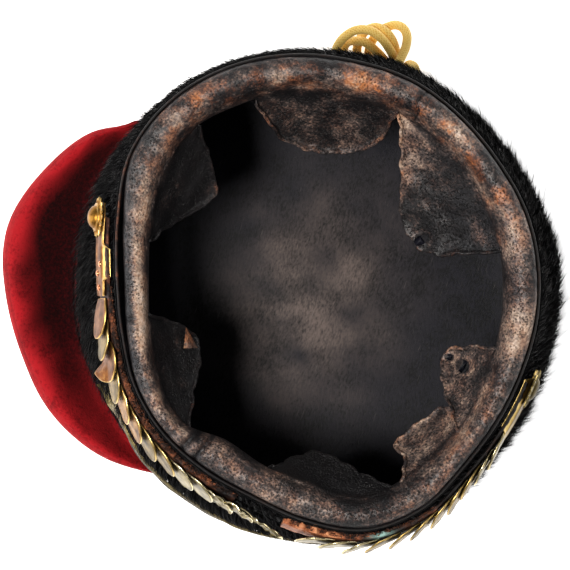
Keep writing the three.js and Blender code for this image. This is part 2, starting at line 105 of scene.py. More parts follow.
# How worn each tongue is at its root and at its free edge; the front tongue's very low values are
# painted shade
TONGUE_WEAR_AND_SHADE = [(0.6, 0.02), (0.28, 0.26), (-0.06, -0.12), (-0.06, -0.08), (-0.5, -0.55),
               (0.44, 0.44), (0.38, 0.34)]
# Share of its root's wear that the rear right tongue has, by hat angle
FIRST_TONGUE = [(45, 0), (60, 0.12), (70, 0.4), (82, 1)]
# How far each tongue's free edge curls up
CURLS = {1: 1.2, 2: 3, 3: 1.6, 4: 1.8, 6: 1.5, 7: 1.4}

# Outline of the bag's tail, and the height of its upper layer between the crown and that outline
TAIL = [(150, 119), (158, 128), (165, 141), (175, 150.5), (185, 158), (192, 159), (200, 156),
        (212, 150.5), (222, 146.5), (230, 141), (238, 133.5), (246, 123), (254, 112)]
POUCH = (155.5, 249)
PUFF = 20
PUFF_PROFILE = [(0, 0), (0.16, 0.1), (0.34, 0.42), (0.52, 0.78), (0.7, 1), (0.85, 0.9),
                (0.95, 0.55), (1, -0.1)]
# How strongly painted shade darkens the cloth's valley beside the fur, round the hat
VALLEY_SHADE = [(155, 0.9), (168, 0.96), (180, 1), (205, 1), (218, 0.85), (230, 0.5), (249, 0.25)]

# Strap halves: span, way that the scales point, number of scales, first scale, pitch, end plate
STRAPS = {
    "left": dict(span=(181, 266), way=1, scales=13, first=201, pitch=5.6, slope=7.5,
                 plate=(178, 200.5), flange=(187.5, 196.5), star=181, lean=np.radians(13)),
    "right": dict(span=(358, 279.5), way=-1, scales=11, first=343.5, pitch=5.05, slope=8.5,
                  plate=(362, 342.5), flange=(343.5, 359.5), star=357, lean=np.radians(10)),
}
BENT_SCALE = ("left", 3)

# Cord loops behind the crown, the same routes as the solids
CORD_ROUTES = [
    [(-34.1, 117, 7), (-35.2, 121.4, 11), (-33.6, 127.4, 14), (-29.2, 132.6, 15.5),
     (-22.5, 134.7, 16.5), (-16.1, 133.1, 17), (-10.6, 129.9, 15), (-7, 127, 12.5),
     (-5, 123.8, 10.5)],
    [(-29.6, 118.1, 4.5), (-31.6, 122.3, 3.6), (-31, 126.3, 5), (-27, 128.2, 9),
     (-22.5, 128.8, 10.5), (-16.4, 127, 9.5), (-11.6, 124.9, 7), (-9.3, 121.8, 5)],
    [(-22.5, 119.5, 4.5), (-25.2, 124.8, 3), (-25.7, 130.5, 4), (-24, 135.4, 7), (-20.1, 138, 11),
     (-15, 137.2, 13.5), (-10.1, 134.3, 12), (-6.3, 129.9, 9), (-3.9, 126.6, 6.5),
     (-2.2, 122.3, 4.5)],
    [(-16.7, 119.9, 4.5), (-19.2, 126, 3), (-19.6, 131.2, 3.2), (-18, 136.7, 4.5),
     (-15.1, 140.4, 8), (-11.7, 142.5, 11), (-7.7, 142.2, 13), (-4.5, 139.2, 14),
     (-3.1, 134.3, 14.5), (-3.2, 129.6, 16.2), (-3.8, 124.7, 18.3)],
    [(0.9, 124.5, 12.3), (2.2, 126.6, 10), (5.4, 126.1, 7), (8.3, 120.4, 5)],
]
CORD_TURN = 9

# Hairs in each height band of the coat, and the tufts' spacing round the hat and up it
HAIRS = 36000
HAIR_BANDS = [(4, 40), (40, 76), (76, 110), (110, 143.5)]
TUFT_ROUND, TUFT_UP = 4, 6
# Share of the coat's depth at which they root, inside the underhair
HAIR_ROOT = 0.46
SHREDS = 7000

# Camera's lens in millimetres, its distance in metres, and the height that the lights aim at
LENS = 206.5
CAMERA_FAR = 1.5
LIT_HEIGHT = 0.1


# Colour and node helpers

def linear(code, alpha=1.0):
    """sRGB hex to linear: c / 12.92 below 0.04045, else ((c + 0.055) / 1.055) ^ 2.4."""
    parts = np.array([int(code[at:at + 2], 16) for at in (1, 3, 5)]) / 255
    out = np.where(parts <= 0.04045, parts / 12.92, ((parts + 0.055) / 1.055) ** 2.4)
    return (*out.tolist(), alpha)


def connect(tree, socket, value):
    """Links a node's usual output or a socket to the socket, or sets it; a colour is a hex code."""
    if isinstance(value, bpy.types.Node):
        value = value.outputs[{"ATTRIBUTE": "Fac", "MIX": "Result"}.get(value.type, 0)]
    if isinstance(value, bpy.types.NodeSocket):
        tree.links.new(value, socket)
    else:
        socket.default_value = linear(value) if isinstance(value, str) else value


def add(tree, kind, inputs=(), stops=(), **settings):
    """Adds a node: inputs are its sockets by name or in order, stops a ramp, settings the rest."""
    node = tree.nodes.new("ShaderNode" + kind)
    for key, value in settings.items():
        setattr(node, key, value)
    if stops:
        ramp = node.color_ramp
        while len(ramp.elements) < len(stops):
            ramp.elements.new(0.5)
        for element, (place, colour) in zip(ramp.elements, stops):
            element.position = place
            element.color = linear(colour)
    for key, value in inputs.items() if isinstance(inputs, dict) else enumerate(inputs):
        connect(tree, node.inputs[key], value)
    return node


def finish(name, marks=(), grains=()):
    """A new material: tree, shader, coordinates, readers of its marks, and noise of each grain.

    A grain is noise on the object's coordinates, of a scale, a detail and a roughness.
    """
    material = bpy.data.materials.new(name)
    material.use_nodes = True
    tree = material.node_tree
    place = tree.nodes.new("ShaderNodeTexCoord").outputs["Object"]
    nodes = [add(tree, "Attribute", attribute_name=mark) for mark in marks]
    for scale, detail, rough in grains:
        nodes.append(add(tree, "TexNoise", {"Vector": place, "Scale": scale, "Detail": detail,
                                            "Roughness": rough}))
    return (material, tree, tree.nodes["Principled BSDF"], place, *nodes)


def wire(tree, shader, **sockets):
    """Sets or links the shader's sockets; an underscore in a key stands for a space."""
    for key, value in sockets.items():
        connect(tree, shader.inputs[key.replace("_", " ")], value)


# Mesh helpers

def polar(angle, radius, z):
    """Points at angles in degrees, radii and heights, which broadcast together."""
    turn, radius, z = np.broadcast_arrays(np.radians(angle), radius, z)
    return np.stack([radius * np.cos(turn), radius * np.sin(turn), z], -1).astype(float)


def unit(value):
    """The value kept between 0 and 1."""
    return np.clip(value, 0, 1)


def normed(vectors):
    """Vectors brought to length 1, along the last axis."""
    return vectors / np.maximum(np.linalg.norm(vectors, axis=-1, keepdims=True), 1e-9)


def circle(count, full=2 * np.pi):
    """Angles once round: in radians, or with full=360 in degrees."""
    return np.linspace(0, full, count, endpoint=False)


def spline(t, a, b, c, d):
    """Catmull-Rom curve at share t of the way from b to c, sloped by the neighbours a and d."""
    return b + 0.5 * t * (c - a + t * (2 * a - 5 * b + 4 * c - d + t * (3 * (b - c) + d - a)))


def bearing(points):
    """Angle in degrees and radius of points seen from above."""
    turn = np.degrees(np.arctan2(points[..., 1], points[..., 0])) % 360
    return turn, np.hypot(points[..., 0], points[..., 1])


def around(column, angle):
    """Plan value at an angle: Catmull-Rom curve through the column's stations, closed on itself."""
    row = np.array(PLAN[column], float)
    place = np.asarray(angle, float) / 15 % 24
    low = np.floor(place).astype(int)
    return spline(place - low, *(row[(low + step) % 24] for step in (-1, 0, 1, 2)))


def smooth_line(knots, count):
    """count points on the Catmull-Rom curve through the knots along the first axis."""
    knots = np.asarray(knots, float)
    last = len(knots) - 1
    place = np.linspace(0, last, count)
    low = np.minimum(np.floor(place).astype(int), last - 1)
    t = (place - low).reshape(-1, *[1] * (knots.ndim - 1))
    return spline(t, *(knots[np.clip(low + step, 0, last)] for step in (-1, 0, 1, 2)))


def even(line, count):
    """The same line with points an equal distance apart."""
    step = np.linalg.norm(np.diff(line, axis=0), axis=1)
    run = np.concatenate([[0], np.cumsum(step)])
    at = np.linspace(0, run[-1], count)
    return np.stack([np.interp(at, run, line[:, axis]) for axis in range(line.shape[1])], 1)


def oval(turn, flat, full):
    """Flattened cross section: cosine and sine of the turn, raised to a power with signs kept."""
    across, thick = np.cos(turn), np.sin(turn)
    return np.sign(across) * np.abs(across) ** flat, np.sign(thick) * np.abs(thick) ** full


def ripple(points, size, seed, octaves=2):
    """Smooth noise of about -1 to 1: cosines in random directions, each octave half as long."""
    draw = np.random.default_rng(seed)
    total = np.zeros(points.shape[:-1])
    for octave in range(octaves):
        for _ in range(7):
            way = draw.normal(size=points.shape[-1])
            way *= 2 * np.pi / (size * 0.5 ** octave) / np.linalg.norm(way)
            total += 0.5 ** octave * np.cos(points @ way + draw.uniform(0, 6.28))
    return total / 3.2


def bell(value, centre, width):
    """Gauss bell: 1 at the centre, falling off over width."""
    return np.exp(-((value - centre) / width) ** 2)


def flare(column, z):
    """Share of the flare at a height, the table's corners rounded by averaging over 8 mm."""
    spots = np.linspace(-4, 4, 9)
    z = np.asarray(z, float)
    return sum(np.interp(z + spot, LEVELS, FLARE[column]) for spot in spots) / len(spots)


def shell_outer(angle, z):
    """Radius of the shell's outer face: from mouth to crown by its flare."""
    mouth = around("mouth", angle) + SHELL_WALL
    return mouth + (around("fur", angle) - FUR_DEPTH - mouth) * flare("shell", z)


def fur_outer(angle, z):
    """Radius of the fur's outside: from just outside the mouth to the crown by its flare."""
    mouth = around("mouth", angle) + SHELL_WALL + PELT_EDGE
    return mouth + (around("fur", angle) - mouth) * flare("fur", z)


def quads(rows, columns, ring=False, tube=False):
    """Quads of a grid of points by index; ring closes it along the rows, tube along the columns."""
    index = np.arange(rows * columns).reshape(rows, columns)
    if ring:
        index = np.vstack([index, index[:1]])
    if tube:
        index = np.hstack([index, index[:, :1]])
    corners = [index[:-1, :-1], index[1:, :-1], index[1:, 1:], index[:-1, 1:]]
    return np.stack(corners, -1).reshape(-1, 4)


def make(name, points, faces, material, slot, replaces=(), crease=None, clean=True, **marks):
    """A piece from points and faces of equal size, with one float per point for each mark."""
    mesh = bpy.data.meshes.new(name)
    points = points.reshape(-1, 3)
    mesh.vertices.add(len(points))
    mesh.vertices.foreach_set("co", (points * MM).astype(np.float32).ravel())
    mesh.loops.add(faces.size)
    mesh.loops.foreach_set("vertex_index", faces.astype(np.int32).ravel())
    mesh.polygons.add(len(faces))
    mesh.polygons.foreach_set("loop_start", np.arange(len(faces), dtype=np.int32) * faces.shape[1])
    for key, values in marks.items():
        layer = mesh.attributes.new(key, "FLOAT", "POINT")
        layer.data.foreach_set("value", np.broadcast_to(values, len(points)).astype(np.float32))
    mesh.update(calc_edges=True)
    if clean:
        work = bmesh.new()
        work.from_mesh(mesh)
        bmesh.ops.remove_doubles(work, verts=work.verts, dist=1e-6)
        bmesh.ops.dissolve_degenerate(work, edges=work.edges, dist=1e-7)
        bmesh.ops.recalc_face_normals(work, faces=work.faces)
        work.to_mesh(mesh)
        work.free()
    mesh.shade_smooth()
    if crease:
        mesh.set_sharp_from_angle(angle=np.radians(crease))
    mesh.materials.append(material)
    thing = bpy.data.objects.new(name, mesh)
    bpy.context.scene.collection.objects.link(thing)
    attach(thing, "root")
    if replaces:
        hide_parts(*replaces)
    return thing


def blades(points, triangles):
    """Faces of many small blades, each a row of points with the same triangles."""
    start = np.arange(len(points))[:, None, None] * points.shape[1]
    return (start + np.array(triangles)).reshape(-1, 3)


def body(name, sections, material, slot, ring=False, marks=None, **options):
    """A closed body from cross sections, each a closed loop of points; its open ends are capped."""
    size = sections.shape[:2]
    marks = {key: np.broadcast_to(value, size) for key, value in (marks or {}).items()}
    if not ring:
        caps = [part.mean(1, keepdims=True).repeat(sections.shape[1], 1)
                for part in (sections[:1], sections[-1:])]
        sections = np.concatenate([caps[0], sections, caps[1]])
        marks = {key: np.concatenate([value[:1], value, value[-1:]])
                 for key, value in marks.items()}
    faces = quads(*sections.shape[:2], ring=ring, tube=True)
    flat = {key: value.reshape(-1) for key, value in marks.items()}
    return make(name, sections, faces, material, slot, **options, **flat)


def slab(face, wall, rounds=5):
    """Loops of a sheet below a face grid: the face, a half circle round its free edge, the back."""
    along = np.gradient(face, axis=0)
    across = np.gradient(face, axis=1)
    normal = normed(np.cross(along, across))
    normal *= np.sign(normal[..., 2].sum())
    back = face - normal * wall
    out = normed(across[:, -1])
    turns = np.linspace(np.pi / 2, -np.pi / 2, rounds + 2)[1:-1]
    middle = (face[:, -1] + back[:, -1]) / 2
    edge = np.stack([middle + wall / 2 * (np.cos(turn) * out + np.sin(turn) * normal[:, -1])
                     for turn in turns], 1)
    return np.concatenate([face, edge, back[:, ::-1]], 1)


# Camera, then the cords

def hang(name, data, spot, right, back):
    """A camera or lamp at a spot in metres, facing against back, with right to its right."""
    thing = bpy.data.objects.new(name, data)
    turn = Matrix(np.stack([right, np.cross(back, right), back], 1).tolist()).to_4x4()
    thing.matrix_world = Matrix.Translation(spot.tolist()) @ turn
    bpy.context.scene.collection.objects.link(thing)
    return thing


def place_camera():
    """Camera 1.5 m above the rim, looking down with the tilt and turn of the photograph."""
    back = normed(np.array([-0.0329, -0.0166, 1.0]))
    right = np.array([0.9336, 0.3584, 0.0367])
    right = normed(right - back * (right @ back))
    camera = bpy.data.cameras.new("camera")
    camera.sensor_width = 36
    camera.lens = LENS
    spot = np.array([-0.0214, -0.0018, 0.152]) + CAMERA_FAR * back
    bpy.context.scene.camera = hang("camera", camera, spot, right, back)


def gold_braid():
    """Braided wool cord: golden yellow, with painted shade in ochre between its slanting strands.
    """
    material, tree, shader, _, groove, fibre = finish("gold_braid", ["groove"], [(1300, 4, 0.7)])
    shade = add(tree, "Math", (groove, 0.6, fibre), operation="MULTIPLY_ADD")
    colour = add(tree, "ValToRGB", (shade,), [
        (0.45, "#A8741A"), (0.62, "#D6982A"), (0.85, "#EDB846"), (1.0, "#F6D272")])
    bump = add(tree, "Bump", {"Height": shade, "Strength": 0.5, "Distance": 0.0003})
    wire(tree, shader, Base_Color=colour, Normal=bump, Roughness=0.6, Sheen_Weight=0.2)
    return material


def cords():
    """Cord loops: a circle swept along each route, its radius raised where the strands cross."""
    braid = gold_braid()
    for number, route in enumerate(CORD_ROUTES, 1):
        line = smooth_line(route, 400)
        length = np.linalg.norm(np.diff(line, axis=0), axis=1).sum()
        count = int(length / 0.3)
        line = even(line, count)
        ahead = normed(np.gradient(line, axis=0))
        side = normed(np.cross(ahead, [0.31, 0.2, 0.93]))
        other = np.cross(ahead, side)
        turn = circle(32)
        run = np.linspace(0, length, count)[:, None] * 2 * np.pi / CORD_TURN
        strands = np.maximum(np.abs(np.sin(4 * turn + 3 * run)), np.abs(np.sin(4 * turn - 3 * run)))
        radius = CORD_DIAMETER / 2 * (0.95 + 0.06 * strands)
        rings = (line[:, None] + radius[..., None] * (np.cos(turn)[:, None] * side[:, None]
                                                      + np.sin(turn)[:, None] * other[:, None]))
        loop = body(f"cord_loop_{number}_braid", rings, braid, "gold_cord",
                    marks={"groove": strands}, replaces=[f"cord_loop_{number}"])


place_camera()
cords()


# Materials

def band_leather():
    """Sheepskin sweatband: a dark waxed finish that has rubbed and flaked off down to tan hide."""
    # flakes from 8 mm across down to half a millimetre, then fine grain, cloudy tone and stains
    material, tree, shader, place, wear_and_shade, rust, crackle, patch, fine, tone, stain = finish(
        "waxed_sheepskin_flaked", ["wear_and_shade", "rust", "crackle"],
        [(125, 9, 0.7), (800, 6, 0.75), (60, 7, 0.65), (105, 7, 0.7)])
    # the wear mark also carries painted shade, which pulls the value down towards the dark finish
    value = add(tree, "Math", (patch, 1.4, -1.5), operation="MULTIPLY_ADD")
    value = add(tree, "Math", (value, wear_and_shade), operation="ADD")
    value = add(tree, "Math", (fine, 1.6, value), operation="MULTIPLY_ADD")
    skin = add(tree, "ValToRGB", (value,), [
        (0.0, "#0D0C0E"), (0.22, "#1E1B1C"), (0.4, "#433A37"), (0.56, "#6C5A52"),
        (0.76, "#95806F"), (1.0, "#C0AB9C")])
    rusty = add(tree, "ValToRGB", (value,), [
        (0.1, "#1A1414"), (0.4, "#5E3420"), (0.7, "#A8622F"), (1.0, "#C08854")])
    much = add(tree, "MapRange", (stain, 0.44, 0.6))
    much = add(tree, "Math", (much, rust), operation="MULTIPLY")
    base = add(tree, "Mix", {"Factor": much, "A": skin, "B": rusty}, data_type="RGBA")
    bent = add(tree, "VectorMath", (fine.outputs["Color"], (0.0016, 0.0016, 0.0016), place),
               operation="MULTIPLY_ADD")
    # pits where the finish has popped off, about 1.3 mm apart, thick where the skin has crackled
    pit = add(tree, "TexVoronoi", {"Vector": bent, "Scale": 760.0}, feature="F1")
    reach = add(tree, "Math", (crackle, -0.12, pit), operation="MULTIPLY_ADD")
    dots = add(tree, "MapRange", (reach, 0.14, 0.38, 0.2))
    spread = add(tree, "Math", (crackle, 0.16, tone), operation="MULTIPLY_ADD")
    whole = add(tree, "MapRange", (spread, 0.46, 0.58, 1.0, 0.0))
    dots = add(tree, "Math", (dots, whole), operation="MAXIMUM")
    base = add(tree, "Mix", {"Factor": 1.0, "A": base, "B": dots}, data_type="RGBA",
               blend_type="MULTIPLY")
    height = add(tree, "Math", (fine, 1.4, dots), operation="MULTIPLY_ADD")
    height = add(tree, "Math", (value, -0.5, height), operation="MULTIPLY_ADD")
    bump = add(tree, "Bump", {"Height": height, "Strength": 0.8, "Distance": 0.0005})
    gloss = add(tree, "MapRange", (tone, 0.35, 0.65, 0.5, 0.34))
    wire(tree, shader, Base_Color=base, Roughness=gloss, Normal=bump, Specular_IOR_Level=0.4)
    return material


def shell_leather():
    """Black waxed leather lining, smooth, with a fine fibrous drag and brown-grey scuffing, which
    in the crown's middle is partly a painted pool of light.
    """
    material, tree, shader, place, scuff_and_lit_pool, cloud = finish(
        "black_waxed_leather_scuffed_and_lit", ["scuff_and_lit_pool"], [(60, 8, 0.65)])
    drawn = add(tree, "Mapping", {"Vector": place, "Scale": (1, 0.45, 1), "Rotation": (0, 0, 0.9)})
    # drag marks about 1 mm wide and 2 mm long
    fibre = add(tree, "TexNoise", {"Vector": drawn, "Scale": 850, "Detail": 7, "Roughness": 0.78})
    value = add(tree, "Math", (fibre, 1.5, cloud), operation="MULTIPLY_ADD")
    value = add(tree, "Math", (value, 0.8), operation="MULTIPLY")
    base = add(tree, "ValToRGB", (value,), [
        (0.75, "#030306"), (0.92, "#07080C"), (1.0, "#14141B")])
    # brown-grey rub where the scuff mark is high: a real scuff, and in the crown's middle partly a
    # painted pool of light
    rub = add(tree, "MapRange", (value, 0.78, 1.2))
    rub = add(tree, "Math", (rub, scuff_and_lit_pool), operation="MULTIPLY")
    base = add(tree, "Mix", {"Factor": rub, "A": base, "B": "#625651"}, data_type="RGBA")
    # short pale scratches
    turned = add(tree, "Mapping", {"Vector": place, "Scale": (1, 0.07, 1), "Rotation": (0, 0, 0.5)})
    scratch = add(tree, "TexNoise", {"Vector": turned, "Scale": 1500, "Detail": 2})
    scratch = add(tree, "MapRange", (scratch, 0.7, 0.8, 0.0, 0.25))
    base = add(tree, "Mix", {"Factor": scratch, "A": base, "B": "#7A746F"}, data_type="RGBA")
    bump = add(tree, "Bump", {"Height": value, "Strength": 0.45, "Distance": 0.0003})
    gloss = add(tree, "MapRange", (fibre, 0.3, 0.7, 0.34, 0.5))
    wire(tree, shader, Base_Color=base, Roughness=gloss, Normal=bump, Specular_IOR_Level=0.09)
    return material


def wool_cloth():
    """Scarlet felted wool broadcloth: matt, napped, darkened to near black with painted shade in
    the valley at the fur.
    """
    # nap drawn at 1.5 mm, coarser than real, so that the felt shows
    material, tree, shader, _, valley_shade, nap, rub = finish(
        "scarlet_wool_broadcloth", ["valley_shade"], [(650, 6, 0.75), (60, 6, 0.65)])
    value = add(tree, "Math", (nap, rub), operation="ADD")
    base = add(tree, "ValToRGB", (value,), [
        (0.7, "#5E0A0F"), (0.9, "#861016"), (1.0, "#9C171D")])
    # painted shade: near black mixed into the cloth where the valley beside the fur lies in shade
    dull = add(tree, "Math", (nap, 0.5), operation="SUBTRACT")
    dull = add(tree, "Math", (dull, -0.5, 1.0), operation="MULTIPLY_ADD")
    dull = add(tree, "Math", (dull, valley_shade), operation="MULTIPLY", use_clamp=True)
    base = add(tree, "Mix", {"Factor": dull, "A": base, "B": "#150304"}, data_type="RGBA")
    bump = add(tree, "Bump", {"Height": nap, "Strength": 0.8, "Distance": 0.0007})
    wire(tree, shader, Base_Color=base, Roughness=0.95, Normal=bump, Sheen_Weight=0.08,
         Sheen_Roughness=0.4, Sheen_Tint="#FF5A5A", Specular_IOR_Level=0.1)
    return material


def brass(name, dark, middle, bright, rough):
    """Old rolled brass: mottled tarnish on its faces, rubbed bright along its edges."""
    material, tree, shader, _, edge, cloud, fine = finish(
        name, ["edge"], [(160, 6, 0.65), (1300, 3, 0.5)])
    value = add(tree, "Math", (edge, 0.5, cloud), operation="MULTIPLY_ADD")
    base = add(tree, "ValToRGB", (value,), [(0.35, dark), (0.6, middle), (0.95, bright)])
    gloss = add(tree, "MapRange", (value, 0.3, 0.9, rough + 0.14, rough - 0.06))
    bump = add(tree, "Bump", {"Height": fine, "Strength": 0.12, "Distance": 0.0002})
    wire(tree, shader, Base_Color=base, Metallic=1.0, Roughness=gloss, Normal=bump)
    return material


def strap_leather():
    """Vegetable-tanned strap leather, dry and frayed to red-brown fibre along its edges."""
    material, tree, shader, _, fray, green, fibre, cloud = finish(
        "dry_vegetable_tanned_leather", ["fray", "green"], [(600, 8, 0.78), (110, 5, 0.7)])
    value = add(tree, "Math", (fibre, cloud), operation="ADD")
    value = add(tree, "Math", (value, 0.8, -0.3), operation="MULTIPLY_ADD")
    # the fray mark also carries the binding's painted highlight
    value = add(tree, "Math", (value, fray), operation="ADD")
    base = add(tree, "ValToRGB", (value,), [
        (0.36, "#0A0707"), (0.48, "#24150F"), (0.6, "#55301F"), (0.76, "#9C5836"),
        (0.95, "#C88A60")])
    # verdigris from the brass
    base = add(tree, "Mix", {"Factor": green, "A": base, "B": "#9CC4BC"}, data_type="RGBA")
    bump = add(tree, "Bump", {"Height": fibre, "Strength": 1.0, "Distance": 0.0006})
    wire(tree, shader, Base_Color=base, Roughness=0.6, Normal=bump, Specular_IOR_Level=0.3)
    return material


def seal_hair(name, root, middle, tip):
    """Sealskin guard hair: near black, glossy, paling to grey-brown at the tips."""
    material, tree, shader, _, along, shade = finish(name, ["tip", "shade"])
    value = add(tree, "Math", (along, shade), operation="MULTIPLY")
    base = add(tree, "ValToRGB", (value,), [(0.0, root), (0.45, middle), (1.0, tip)])
    wire(tree, shader, Base_Color=base, Roughness=0.5, Specular_IOR_Level=0.1)
    return material


BAND = band_leather()
SHELL = shell_leather()
WOOL = wool_cloth()
BRASS = brass("aged_rolled_brass", "#2E2410", "#77602A", "#C8AC6C", 0.38)
DULL_BRASS = brass("dull_olive_brass", "#252012", "#5C5030", "#9C8C5E", 0.45)
RED_BRASS = brass("red_tarnished_brass", "#3A1E0C", "#7C4C22", "#D0AC64", 0.42)
AMBER_BRASS = brass("amber_tarnished_brass", "#4A2C10", "#966A2A", "#DCC07C", 0.38)
PALE_BRASS = brass("worn_pale_brass", "#352C18", "#80703F", "#DCCEA6", 0.3)
STRAP = strap_leather()
COPPER = brass("copper_rivet", "#6A3420", "#B4643E", "#E09A70", 0.3)
SCALE_FINISH = {"left": [RED_BRASS, BRASS, RED_BRASS, BRASS, AMBER_BRASS, AMBER_BRASS, BRASS, BRASS]
                        + 5 * [PALE_BRASS],
                "right": 2 * [PALE_BRASS] + 6 * [BRASS] + 3 * [PALE_BRASS]}
HAIR = seal_hair("sealskin_guard_hair", "#020203", "#070608", "#2E2825")
UNDERHAIR = seal_hair("sealskin_underhair", "#020203", "#060607", "#0B0A0B")


# Shell, sweatband and binding

def shell():
    """Leather wall: outer face by the shell's flare, inner face its wall's thickness inside it."""
    angle = circle(240, 360)[:, None]
    up = np.linspace(LEVELS[0], LEVELS[-1], 42)
    outside = polar(angle, shell_outer(angle, up), up)
    down = up[::-1]
    inside = polar(angle, shell_outer(angle, down) - SHELL_WALL, down)
    wall = np.concatenate([outside, inside], 1)
    wall += 0.25 * ripple(wall, 22, 4)[..., None] * wall / 100 * [1, 1, 0]
    body("shell_wall", wall, SHELL, "shell_leather", ring=True, marks={"scuff_and_lit_pool": 0.1},
         replaces=["shell"])


def crown():
    """Crown disc: rings of the plan's own outline shrunk to the middle, slightly dented."""
    angle = circle(180, 360)[:, None]
    share = np.concatenate([np.linspace(0, 1, 44), np.linspace(1, 0, 6)])
    edge = shell_outer(angle, 6.0) - SHELL_WALL - 0.4
    disc = polar(angle, edge * share, 0 * share)
    dents = 0.22 * ripple(disc, 60, 9, 1)
    top = np.arange(50) < 44
    face = CROWN_FLOOR + dents * (1 - share ** 4) + 1.2 * share ** 14
    disc[..., 2] = np.where(top, face, LEVELS[0])
    # a broad lighter patch round the middle: partly a scuff, partly a painted pool of light
    along, over = disc[..., 0] + 2, disc[..., 1] + 2
    scuff_and_lit_pool = np.exp(-(along / 34) ** 2 - (over / 44) ** 2) * (0.95 + 0.4 * ripple(disc, 30, 12, 3))
    body("crown_disc_leather", disc.transpose(1, 0, 2), SHELL, "shell_leather",
         marks={"scuff_and_lit_pool": scuff_and_lit_pool.T}, replaces=["crown_disc"])


def roll_section(angle, place):
    """Radius and height on the roll's closed section, place counting its knots from the outside."""
    knots = np.array(ROLL_SECTION, float)
    low = np.floor(place).astype(int)
    t = (place - low)[:, None]
    share, drop = spline(t, *(knots[(low + step) % len(knots)] for step in (-1, 0, 1, 2))).T
    roll, throat = around("roll", angle)[:, None], around("throat", angle)[:, None]
    return roll - (roll - throat) * share, RIM_TOP - drop + 0 * roll


def creases(turn, radius):
    """Depth of the folds at the front left, the crack at the rear right and the left nick."""
    fold = bell(turn, 246.5, 1.1) + 0.75 * bell(turn, 250.9, 0.8) + 0.35 * bell(turn, 241.3, 0.6)
    crack = 0.6 * bell(turn, 86 + 0.8 * np.sin(radius / 2.2), 0.35)
    nick = 0.6 * bell(turn, 207, 0.8) * bell(radius, around("roll", turn) - 2, 2.5)
    return fold + crack + nick


def band_lumps(skin):
    """Unevenness of the sweatband in its upper part, folds and a crack at their places added."""
    turn, radius = bearing(skin)
    top = unit((skin[..., 2] - RIM_TOP + 18) / 10)
    ridge = 1.2 * bell(turn, 248.6, 1.1) + 1.1 * bell(turn, 243.8, 1.2)
    lumps = (0.35 * ripple(skin, 26, 21) + 0.3 * ripple(skin, 8, 22)
             + 0.16 * ripple(skin, 3.2, 23, 3))
    return top * np.minimum(ridge + lumps - 2.6 * creases(turn, radius), 0.7)


def band_marks(skin):
    """Wear and painted shade, rust and crackle by place: the roll rubbed over its crest, the folds'
    grooves darkened with painted shade.
    """
    turn, radius = bearing(skin)
    roll, throat = around("roll", turn), around("throat", turn)
    share = (roll - radius) / (roll - throat)
    high = unit((skin[..., 2] - RIM_TOP + 16) / 8)
    crest = bell(share, np.interp(turn, *zip(*CREST)), 0.3) * high
    front = bell((turn - 290 + 180) % 360 - 180, 0, 48)
    slope = unit((share - 0.6) / 0.2)
    left = bell(turn, 203, 24) * bell(share, 0.6, 0.3) * high
    outer_left = bell(turn, 200, 30) * unit((0.42 - share) / 0.2)
    inner = unit((share - 0.62) / 0.2) * bell((turn + 40) % 360, 60, 150)
    # worn where rubbed; the folds, the crack and the nick are darkened with painted shade
    wear_and_shade = (0.03 + 0.27 * high + crest * (0.22 - 0.16 * front) + 0.44 * left
            + 0.07 * inner * high - 0.14 * outer_left - 0.5 * creases(turn, radius))
    # among these, the inner slope's darkening round 288 degrees, at the front, is painted shade
    wear_and_shade += high * (0.16 * slope * bell(turn, 328, 24) + 0.08 * bell((turn + 180) % 360, 198, 24)
                    - 0.1 * crest * bell(turn, 122, 24) - 0.14 * slope * bell(turn, 288, 16))
    wear_and_shade += 0.14 * ripple(skin, 30, 31, 3)
    stained = (bell(turn, 132, 22) + bell(turn, 66, 20) + 0.5 * bell(turn, 96, 16) + 0.3
               + 0.3 * bell(turn, 330, 30))
    crackle = 0.25 + 0.75 * front + 0.4 * bell((turn + 20) % 360, 20, 34)
    return {"wear_and_shade": wear_and_shade, "crackle": unit(crackle),
            "rust": unit((0.35 + crest) * high) * unit(stained)}


def sweatband():
    """Padded roll: the closed section curve carried round the plan, lumpy, with a pinched fold."""
    angle = circle(760, 360)
    radius, height = roll_section(angle, np.linspace(0, len(ROLL_SECTION), 50, endpoint=False))
    skin = polar(angle[:, None], radius, height)
    skin[..., 2] += band_lumps(skin)
    body("sweatband_roll", skin, BAND, "band_leather", ring=True, marks=band_marks(skin),
         replaces=["sweatband"])


def cut_round(line, times=3):
    """Corner cutting: each inner corner is replaced by points a quarter in from both sides."""
    for _ in range(times):
        left = line[:-1] * 0.75 + line[1:] * 0.25
        right = line[:-1] * 0.25 + line[1:] * 0.75
        line = np.concatenate([line[:1], np.stack([left, right], 1).reshape(-1, 2), line[-1:]])
    return line


